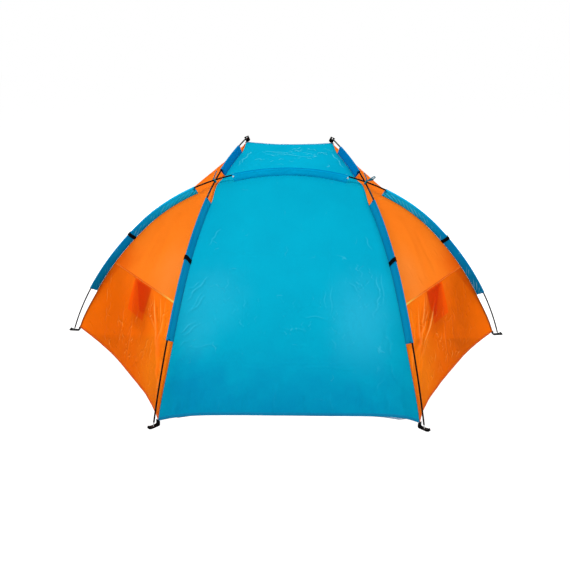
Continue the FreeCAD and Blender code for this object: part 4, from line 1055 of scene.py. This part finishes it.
def webbing_material(name, dyes, width, rib, row):
    """The dyes are for the ribs, the painted shade in the gaps between them and the thread of the two rows of
    stitches.
    """
    nodes, finish = new_material(name)
    colour, gap_shade, thread = dyes.split()
    weave = nodes.add("Group", {
        "Run": nodes.add("UVMap", uv_map="Cut")[0], "Colour": colour, "Painted gap shade": gap_shade,
        "Width": width, "Rib": rib}, node_tree=WEBBING)
    tint, height = sew(nodes, weave["Edge"], row, thread, weave["Colour"], weave["Height"])
    return finish(nodes.skin(tint, 0.68, nodes.bump(height), 0.02))


black_webbing = webbing_material("Black webbing", "0d0d0e 040405 1e1e20", 0.030, 0.0021, 0.0032)
dull_nickel = hard_material("Black nickel", "222222", "686662", 1000.0, 0.4, 0.46, 0.5)
finish_node("pole_eyelets", dull_nickel)


def rounded_path(points, radius=0.007, steps=7):
    """Straight runs with their corners rounded, as webbing bends."""
    path = [points[0]]
    for a, b, c in zip(points, points[1:], points[2:]):
        back, on = (a - b).normalized(), (c - b).normalized()
        reach = min(radius / math.tan(back.angle(on) / 2), (a - b).length * 0.9, (c - b).length * 0.9)
        for i in range(steps + 1):
            t = i / steps
            path.append((b + back * reach) * (1 - t) ** 2 + b * (2 * t * (1 - t)) + (b + on * reach) * t ** 2)
    return path + [points[-1]]


def draw_out(*ways):
    return [("extrude_region_move", {"TRANSFORM_OT_translate": {"value": way}}) for way in ways]


def cut_layer(mesh):
    layer = mesh.uv_layers.active or mesh.uv_layers.new(name="Cut")
    layer.name = "Cut"
    return layer.data


def draw_webbing(name, points, side, aside, width, thickness, material, sway=0.0, nose=0.0):
    """A strap drawn out along its path from one short length, then given its thickness.

    A nose rounds it off in width over that length before the point furthest from its start.
    """
    turn = to_side(side)
    path, aside = [turn(points[0])], turn(aside).normalized()
    for a, b in zip(points, points[1:]):
        count = max(1, int((b - a).length / 0.004))
        path += [turn(a).lerp(turn(b), (i + 1) / count) for i in range(count)]
    half = aside * (width / 2)
    bpy.ops.mesh.primitive_plane_add(size=1.0, location=(0, 0, 0))
    piece = bpy.context.object
    piece.name, mesh = name, piece.data
    for vertex, place in zip(mesh.vertices, (path[0] - half, path[0] + half, path[1] - half, path[1] + half)):
        vertex.co = place
        vertex.select = vertex.index in (2, 3)
    for edge in mesh.edges:
        edge.select = set(edge.vertices) == {2, 3}
    mesh.polygons[0].select = False
    edit(piece, ("select_mode", {"type": "EDGE"}), *draw_out(*[b - a for a, b in zip(path[1:], path[2:])]))
    lengths = run_along(np.array(path)).tolist()
    stations = []
    for vertex in mesh.vertices:
        middle = vertex.co - aside * (vertex.co - path[0]).dot(aside)
        stations.append(min(range(len(path)), key=lambda k: (path[k] - middle).length))
    furthest = max((p - path[0]).length for p in path)
    for vertex, k in zip(mesh.vertices, stations):
        if sway:
            edge_side = 1 if (vertex.co - path[k]).dot(half) > 0 else -1
            vertex.co += aside * (edge_side * sway * math.sin(lengths[k] * 140 + edge_side))
        if nose:
            into = 1 - (furthest - (path[k] - path[0]).length) / nose
            if into > 0:
                vertex.co = path[k] + (vertex.co - path[k]) * math.sqrt(1 - 0.75 * min(into, 1.0) ** 2)
    for corner, place in zip(mesh.loops, cut_layer(mesh)):
        k = stations[corner.vertex_index]
        place.uv = (lengths[k], width / 2 + (mesh.vertices[corner.vertex_index].co - path[k]).dot(aside))
    mesh.materials.append(material)
    apply_modifier(piece, "SOLIDIFY", thickness=thickness, offset=0.0, use_even_offset=True)
    apply_modifier(piece, "BEVEL", width=thickness * 0.22, segments=2, limit_method="ANGLE")
    bpy.ops.object.shade_smooth_by_angle(angle=math.radians(50))
    return piece


def punch(piece, centre, axis, radius):
    """A round hole through webbing for an eyelet."""
    bpy.ops.mesh.primitive_cylinder_add(vertices=32, radius=radius, depth=0.02, location=(0, 0, 0))
    cutter = bpy.context.object
    cutter.data.transform(Matrix.Translation(centre) @ axis.to_track_quat("Z", "Y").to_matrix().to_4x4())
    bpy.context.view_layer.update()
    apply_modifier(piece, "BOOLEAN", object=cutter, operation="DIFFERENCE", solver="EXACT")
    bpy.data.objects.remove(cutter)


STRAP, STRAP_WIDTH, PIN_HOLE, PEG_HOLE = 0.0020, 0.030, 0.0042, 0.0036
HINGE, GAP = 0.0072, 0.0002                      # from the pin to a peg loop's fold, and the space beside it
LOOP_LENGTH, LOOP_BEND, PEG_AT = 0.0212, 0.0010, 0.0074
OFF_GROUND = 0.0006
LOOP_LIFTS = (0, 0), (0.12, 0.004), (0.28, 0.0065), (0.42, 0.0045), (0.52, 0.0008), (0.60, 0), (1, 0)
feet = (("rear", REAR_CORNER, Vector((0.662901, 0.670672, 0.0016)), Vector((0.707107, 0.707107, 0))),
        ("front", FRONT_CORNER, Vector((1.349697, -0.528717, 0.0016)), Vector((0.992546, -0.121869, 0))))
for which, corner, pin, out_way in feet:
    path = rounded_path([corner + UP * 0.004, Vector((corner.x, corner.y, pin.z)), pin + out_way * (HINGE - GAP)])
    fold = pin + out_way * HINGE
    low, high = STRAP / 2 + OFF_GROUND, STRAP * 1.5 + OFF_GROUND
    near, far = fold + out_way * GAP, fold + out_way * LOOP_LENGTH
    loop_path = [Vector((near.x, near.y, low)), Vector((far.x, far.y, low))]
    for k in range(1, 6):
        turned = math.pi * k / 6
        loop_path.append(far + out_way * (LOOP_BEND * math.sin(turned)) + UP * (
            (low + high) / 2 - far.z - LOOP_BEND * math.cos(turned)))
    loop_path += [far.lerp(near, t) + UP * (high - far.z + slack) for t, slack in LOOP_LIFTS]
    hole = fold + out_way * PEG_AT
    for side, word in SIDES:
        turn, foot = to_side(side), f"{word}_{which}"
        strap = draw_webbing(foot + "_corner_webbing", path, side, UP.cross(out_way), STRAP_WIDTH, STRAP,
                             black_webbing, sway=0.0003)
        punch(strap, turn(pin), UP, PIN_HOLE)
        hand_over(strap, foot + "_corner_strap")
        loop = draw_webbing(foot + "_peg_webbing", loop_path, side, UP.cross(out_way), STRAP_WIDTH, STRAP * 0.97,
                            black_webbing, nose=0.014)
        punch(loop, turn(Vector((hole.x, hole.y, STRAP + OFF_GROUND))), UP, PEG_HOLE)
        hand_over(loop, foot + "_peg_loop", foot + "_peg_loop")
        finish_node(foot + "_peg_eyelet", dull_nickel)


# ---------------------------------------------------------------- webbing at the roof tips
# The same webbing, sewn to each front corner of the roof and turned across the end of the roof pole,
# where its eyelet takes the pin.
tip_point, tip_travel, _ = ROOF_POLE.at(ROOF_POLE.length)
tip_pin = tip_point - tip_travel * (0.005 + STRAP / 2)
tip_corner = TIP + tip_travel * (tip_pin - TIP).dot(tip_travel)
plane_up = (tip_pin - tip_corner).normalized()
path = rounded_path([TIP - tip_travel * 0.004, tip_corner, tip_pin + plane_up * 0.009])
for side, word in SIDES:
    turn = to_side(side)
    strap = draw_webbing(word + "_tip_webbing", path, side, tip_travel.cross(plane_up), STRAP_WIDTH, STRAP,
                         black_webbing, sway=0.0003)
    punch(strap, turn(tip_pin), turn(tip_travel), PIN_HOLE)
    hand_over(strap, word + "_tip_strap")


# ---------------------------------------------------------------- guy loops
# Black webbing, 24 mm wide, folded round a sleeve and caught in its seam, so that a guy line can be
# tied round it and the rod.
loop_webbing = webbing_material("Narrow black webbing", "0c0c0d 040405 1c1c1e", 0.024, 0.0019, 0.0030)


def wrap_cut(mesh, runs, full, step):
    """The cut of a ring drawn out in rows: its run at each point, its full run, and the step of a row."""
    layer, count = mesh.uv_layers.new(name="Cut"), len(runs)
    for face in mesh.polygons:
        ids = [mesh.loops[i].vertex_index % count for i in face.loop_indices]
        for i in face.loop_indices:
            row, k = divmod(mesh.loops[i].vertex_index, count)
            closes = k == 0 and max(ids) - min(ids) > count // 2
            layer.data[i].uv = (runs[k] + (full if closes else 0.0), step * row)


def to_left(mesh):
    mesh.transform(Matrix.Scale(-1, 4, Vector((1, 0, 0))))


def fold_guy_loop(line, s, side, lean):
    """One loop: a ring of points round the sleeve, drawn out to the webbing's width."""
    point, travel, across = line.at(s)
    aside = travel.cross(across)
    half = in_mm((40, 2.2), (30, 3.8), (20, 5.6), (10, 7.4), (4, 8), (0, 8), (-3.6, 7.3), (-6.2, 5.4),
                 (-8, 3.2), (-8.8, 1.1))
    ring = half + [(x, -y) for x, y in reversed(half)]
    bpy.ops.mesh.primitive_circle_add(vertices=len(ring), radius=0.02, location=(0, 0, 0))
    loop = bpy.context.object
    for vertex, (x, y) in zip(loop.data.vertices, ring):
        vertex.co = point - travel * 0.012 + across * x + aside * y - travel * (lean * (x - 0.01))
    edit(loop, EVERYTHING, *draw_out(*[travel * 0.004] * 6))
    lengths = run_along(np.array(ring))
    wrap_cut(loop.data, lengths, lengths[-1] + 0.004, 0.004)
    loop.data.materials.clear()
    loop.data.materials.append(loop_webbing)
    if side < 0:
        to_left(loop.data)
    edit(loop, EVERYTHING, NORMALS_OUT)
    apply_modifier(loop, "SOLIDIFY", thickness=0.0012, offset=1.0)
    apply_modifier(loop, "BEVEL", width=0.0003, segments=2, limit_method="ANGLE")
    return loop


for which, line, s, lean in (("arch", ARCH, ARCH_TOP - 1.050, 0.10), ("rear", ROOF_POLE, 0.859, 0.18)):
    loops = join_pieces(which + "_guy_webbing", [fold_guy_loop(line, s, side, lean) for side, _ in SIDES])
    bpy.ops.object.shade_smooth_by_angle(angle=math.radians(40))
    hand_over(loops, which + "_guy_loops")


# ---------------------------------------------------------------- ties at the crossings
# Blue cotton tape, 6 mm wide, sewn to the fabric corner and lashed round both rods where they cross.
# It is knotted on the outside; one end stands up from the knot, and on one side it is tied in a bow.
TAPE_WIDTH, TAPE_THICK, TAPE_LAP, ROD = 0.006, 0.0008, 0.0011, 0.00425        # ROD: radius of a rod
tape = webbing_material("Blue tie tape", "1a748a 084254 3c8c9c", TAPE_WIDTH, 0.0009, 0.0014)
over, along_arch, _ = ARCH.at(ARCH_CROSSING)
under, along_roof, _ = ROOF_POLE.at(ROOF_CROSSING)
along_arch = along_arch * (1 if along_arch.dot(along_roof) > 0 else -1)
tie_out = along_arch.cross(along_roof).normalized()
tie_out = tie_out * (1 if tie_out.dot(over - under) > 0 else -1)
tie_middle = (over + under) / 2
tie_wide = (along_arch - along_roof).normalized()
tie_long = tie_wide.cross(tie_out)
half_angle = along_arch.angle(along_roof) / 2
half_wide = ROD / math.cos(half_angle) + TAPE_WIDTH / 2 * math.tan(half_angle) + TAPE_LAP
half_deep = 0.00875 + TAPE_LAP
knot_top = tie_middle + tie_out * (half_deep + 0.0011)


def blunt(share, power):
    return math.copysign(abs(share) ** power, share)


def lash(turn_angle, grow):
    """One turn of tape round the two rods, as an oval ring drawn out to the tape's width."""
    points, step = 28, 0.0028
    bpy.ops.mesh.primitive_circle_add(vertices=points, radius=1.0, location=(0, 0, 0))
    ring = bpy.context.object
    wide = tie_wide * math.cos(turn_angle) + tie_long * math.sin(turn_angle)
    lengthwise = wide.cross(tie_out)
    for vertex in ring.data.vertices:
        x = blunt(vertex.co.x, 0.55) * (half_wide + grow)
        y = blunt(vertex.co.y, 0.55) * (half_deep + grow)
        vertex.co = tie_middle + wide * x + tie_out * y - lengthwise * step
    edit(ring, EVERYTHING, *draw_out(*[lengthwise * step] * 2))
    girth = 4 * (half_wide + half_deep)
    wrap_cut(ring.data, [girth * k / points for k in range(points)], girth, step)
    edit(ring, EVERYTHING, NORMALS_OUT)
    apply_modifier(ring, "SOLIDIFY", thickness=0.0007, offset=1.0)
    return ring


def tie_knot():
    """A flat overhand knot: a ball pinched round its middle by the turns that cross it."""
    bpy.ops.mesh.primitive_uv_sphere_add(segments=32, ring_count=20, radius=0.0048, location=(0, 0, 0))
    knot = bpy.context.object
    for vertex in knot.data.vertices:
        p = vertex.co.normalized()
        groove = 0.0009 * math.exp(-((p.x * 0.8 + p.y * 0.5) / 0.16) ** 2) \
            + 0.0007 * math.exp(-((p.x * 0.6 - p.z * 0.7) / 0.14) ** 2)
        size = 0.0062 - groove + 0.0005 * noise.noise(p * 2.3)
        vertex.co = Vector((p.x * size * 1.15, p.y * size * 0.9, p.z * size * 0.85))
    facing = Matrix((tie_wide, tie_long, tie_out)).transposed().to_4x4()
    knot.data.transform(Matrix.Translation(knot_top + tie_out * 0.0014) @ facing)
    for place in cut_layer(knot.data):
        place.uv = (place.uv[0] * 0.030, place.uv[1] * 0.012)
    return knot


RIGHT, FORWARD = Vector((1, 0, 0)), Vector((0, 1, 0))
lean = (UP * 4 - RIGHT).normalized()
tail = [knot_top + tie_out * 0.001 + lean * 0.0035 + lean * (0.044 * t) - RIGHT * (0.006 * t * t)
        + FORWARD * (0.006 * math.sin(t * 2.6) + 0.002 * math.sin(t * 7)) for t in np.linspace(0, 1, 14).tolist()]
for side, word in SIDES:
    tie = join_pieces(word + "_crossing_lashing",
                      [lash(0.0, 0.0), lash(0.16, 0.0007), lash(-0.14, 0.0014), tie_knot()], tape)
    if side < 0:
        to_left(tie.data)
        tie.data.flip_normals()
    bpy.ops.object.shade_smooth_by_angle(angle=math.radians(60))
    hand_over(tie, word + "_crossing_tie")
    tail_tape = draw_webbing(word + "_tie_tail", tail, side, Vector((1, 0.15, 0.2)), TAPE_WIDTH, TAPE_THICK, tape)
    hand_over(tail_tape, word + "_tie_end")
slope, tip_back = math.radians(25), math.radians(48)
bow_way = RIGHT * math.cos(slope) + UP * math.sin(slope)
bow_up = bow_way.cross(FORWARD) * math.cos(tip_back) + FORWARD * math.sin(tip_back)
for k, (size, node, reach, rise, opening) in enumerate((
        ("large", "left_tie_bow", 0.048, 0.004, 0.0130), ("small", None, 0.034, -0.010, 0.0090))):
    bow = [knot_top + FORWARD * (0.002 * k) + bow_way * (0.004 + reach * 0.5 * (1 - math.cos(t)))
           + bow_up * (opening * math.sin(t) * (0.55 - 0.45 * math.cos(t)) + rise * 0.5 * (1 - math.cos(t)))
           for t in np.linspace(0, 2 * math.pi, 30)[:-1].tolist()]
    bow_tape = draw_webbing("left_tie_bow_" + size, bow, -1, bow_way.cross(bow_up), TAPE_WIDTH, TAPE_THICK, tape)
    hand_over(bow_tape, node)


# ---------------------------------------------------------------- storage pockets
# One on the inside of each wing: a flat bag of the wing's own taffeta, hung by its top edge from the
# felled seam, so it swings a little. Its mouth is hemmed and its belly hangs slack.
# The pocket is of the wing's own taffeta, given a redder orange than the wing: painted light, the red of light
# that passes through both the pocket and the wing.
pocket_cloth = cloth_material("Pocket taffeta", "f03402 e22c02 f06e1e ff4202", 0.0009, 0.4, 0.72,
                              "be3c08", 0.011, 0.02)
pocket_inward = Vector((-0.834665, -0.550758, 0))
depth, turn_round = np.linspace(0, POCKET_DEPTH, 64), np.linspace(0, 2 * math.pi, 120)
pocket_cut = as_cut(turn_round[None, :] * POCKET_ROUND, depth[:, None])
for side, word in SIDES:
    fresh = 110.0 + 7 * side
    sag = waves(pocket_cut[..., ::-1], (0.060, fresh, 0.0012), (0.022, fresh + 1, 0.0005))
    sag[:, -1] = sag[:, 0]
    points = np.zeros((*sag.shape, 3))
    for i, d in enumerate(depth):
        t = d / POCKET_DEPTH
        belly = 0.0050 + 0.0012 * math.sin(math.pi * min(t * 1.1, 1.0))
        belly = belly * (1 - float(soft_step((t - 0.86) / 0.14)) * 0.82)
        half = POCKET_HALF - 0.003 * math.sin(math.pi * t) - 0.002 * float(soft_step((t - 0.9) / 0.1))
        for j, a in enumerate(turn_round):
            slack = sag[i, j] * abs(math.sin(a)) * (1 if t < 0.9 else 0.2)
            x, y = blunt(math.cos(a), 0.7) * half, blunt(math.sin(a), 0.35) * (belly + slack)
            points[i, j] = POCKET_TOP + POCKET_WAY * x + pocket_inward * float(y) - UP * float(
                d + 0.0012 * math.sin(a * 3 + side) * (1 - t))
    pocket = lay_mesh(word + "_storage_pocket", points if side > 0 else mirrored(points), pocket_cut, pocket_cloth)
    edit(pocket, EVERYTHING, ("remove_doubles", {"threshold": 0.00003}), NOTHING)
    vertices = pocket.data.vertices
    bottom = min(v.co.z for v in vertices)
    for edge in pocket.data.edges:
        edge.select = all(vertices[v].co.z < bottom + 0.0004 for v in edge.vertices)
    edit(pocket, ("select_mode", {"type": "EDGE"}), ("fill", {}), EVERYTHING, NORMALS_OUT)
    apply_modifier(pocket, "SOLIDIFY", thickness=0.0004, offset=-1.0)
    hand_over(pocket, word + "_pocket", word + "_pocket")


# ---------------------------------------------------------------- floor, light and camera
# A plain white studio: a floor that runs out of view, large soft lamps, and a camera at standing eye
# height behind the shelter.
WHITE = (1, 1, 1, 1)


def seen_directly(nodes):
    """1 for what the camera sees or a shiny part mirrors, and the light path's outputs."""
    ray = nodes.add("LightPath")
    return nodes.maths("MAXIMUM", ray["Is Camera Ray"], ray["Is Glossy Ray"]), ray


nodes, finish = new_material("Studio floor")
paint, shown_paint = [nodes.add("BsdfDiffuse", {"Color": (grey, grey, grey, 1.0)})[0] for grey in (0.44, 0.30)]
glow = nodes.add("Emission", {"Color": WHITE, "Strength": 0.86})[0]
bright = nodes.add("AddShader", {0: shown_paint, 1: glow})[0]
floor_paint = finish(nodes.add("MixShader", {0: seen_directly(nodes)[0], 1: paint, 2: bright})[0])
bpy.ops.mesh.primitive_plane_add(size=40.0, location=(0, 0, -0.0004))
floor = bpy.context.object
floor.name = "studio_floor"
floor.data.materials.append(floor_paint)

world = bpy.data.worlds.new("Studio")
world.use_nodes = True
bpy.context.scene.world = world
world.node_tree.nodes.clear()
sky = Nodes(world.node_tree)
shown, ray = seen_directly(sky)
level = sky.add("MapRange", {"Value": sky.maths("MAXIMUM", shown, ray["Is Transmission Ray"]),
                             "To Min": 0.46, "To Max": 1.0})[0]
light = sky.add("Background", {"Color": WHITE, "Strength": level})[0]
sky.add("OutputWorld", {"Surface": light})


def soft_lamp(name, place, aim, size, power):
    lamp = bpy.data.lights.new(name, "AREA")
    lamp.shape, lamp.size, lamp.size_y, lamp.energy = "RECTANGLE", size[0], size[1], power
    holder = bpy.data.objects.new(name, lamp)
    bpy.context.scene.collection.objects.link(holder)
    holder.location = place
    holder.rotation_euler = (Vector(aim) - Vector(place)).to_track_quat("-Z", "Y").to_euler()


soft_lamp("key_softbox", (2.0, 2.9, 3.9), (0, 0.2, 0.6), (1.1, 1.1), 148)
soft_lamp("left_softbox", (-3.2, 2.4, 3.0), (0, 0, 0.6), (1.8, 1.8), 84)
soft_lamp("front_softbox", (0.0, -4.0, 2.2), (0, 0, 0.4), (4.0, 2.4), 330)

yaw, pitch, roll = 0.0127, 0.3389, 0.0154
forward = Vector((-math.sin(yaw) * math.cos(pitch), -math.cos(yaw) * math.cos(pitch), -math.sin(pitch)))
level_right = Vector((-math.cos(yaw), math.sin(yaw), 0))
level_up = level_right.cross(forward)
camera_right = level_right * math.cos(roll) + level_up * math.sin(roll)
camera_up = level_up * math.cos(roll) - level_right * math.sin(roll)
camera = bpy.data.objects.new("camera", bpy.data.cameras.new("camera"))
camera.data.sensor_width, camera.data.lens = 36.0, 48.005
camera.data.clip_end = 100.0
camera.matrix_world = Matrix.Translation((0.0726, 3.9421, 1.894)) @ Matrix(
    (camera_right, camera_up, -forward)).transposed().to_4x4()
bpy.context.scene.collection.objects.link(camera)
bpy.context.scene.camera = camera
bpy.context.scene.view_settings.view_transform = "Standard"
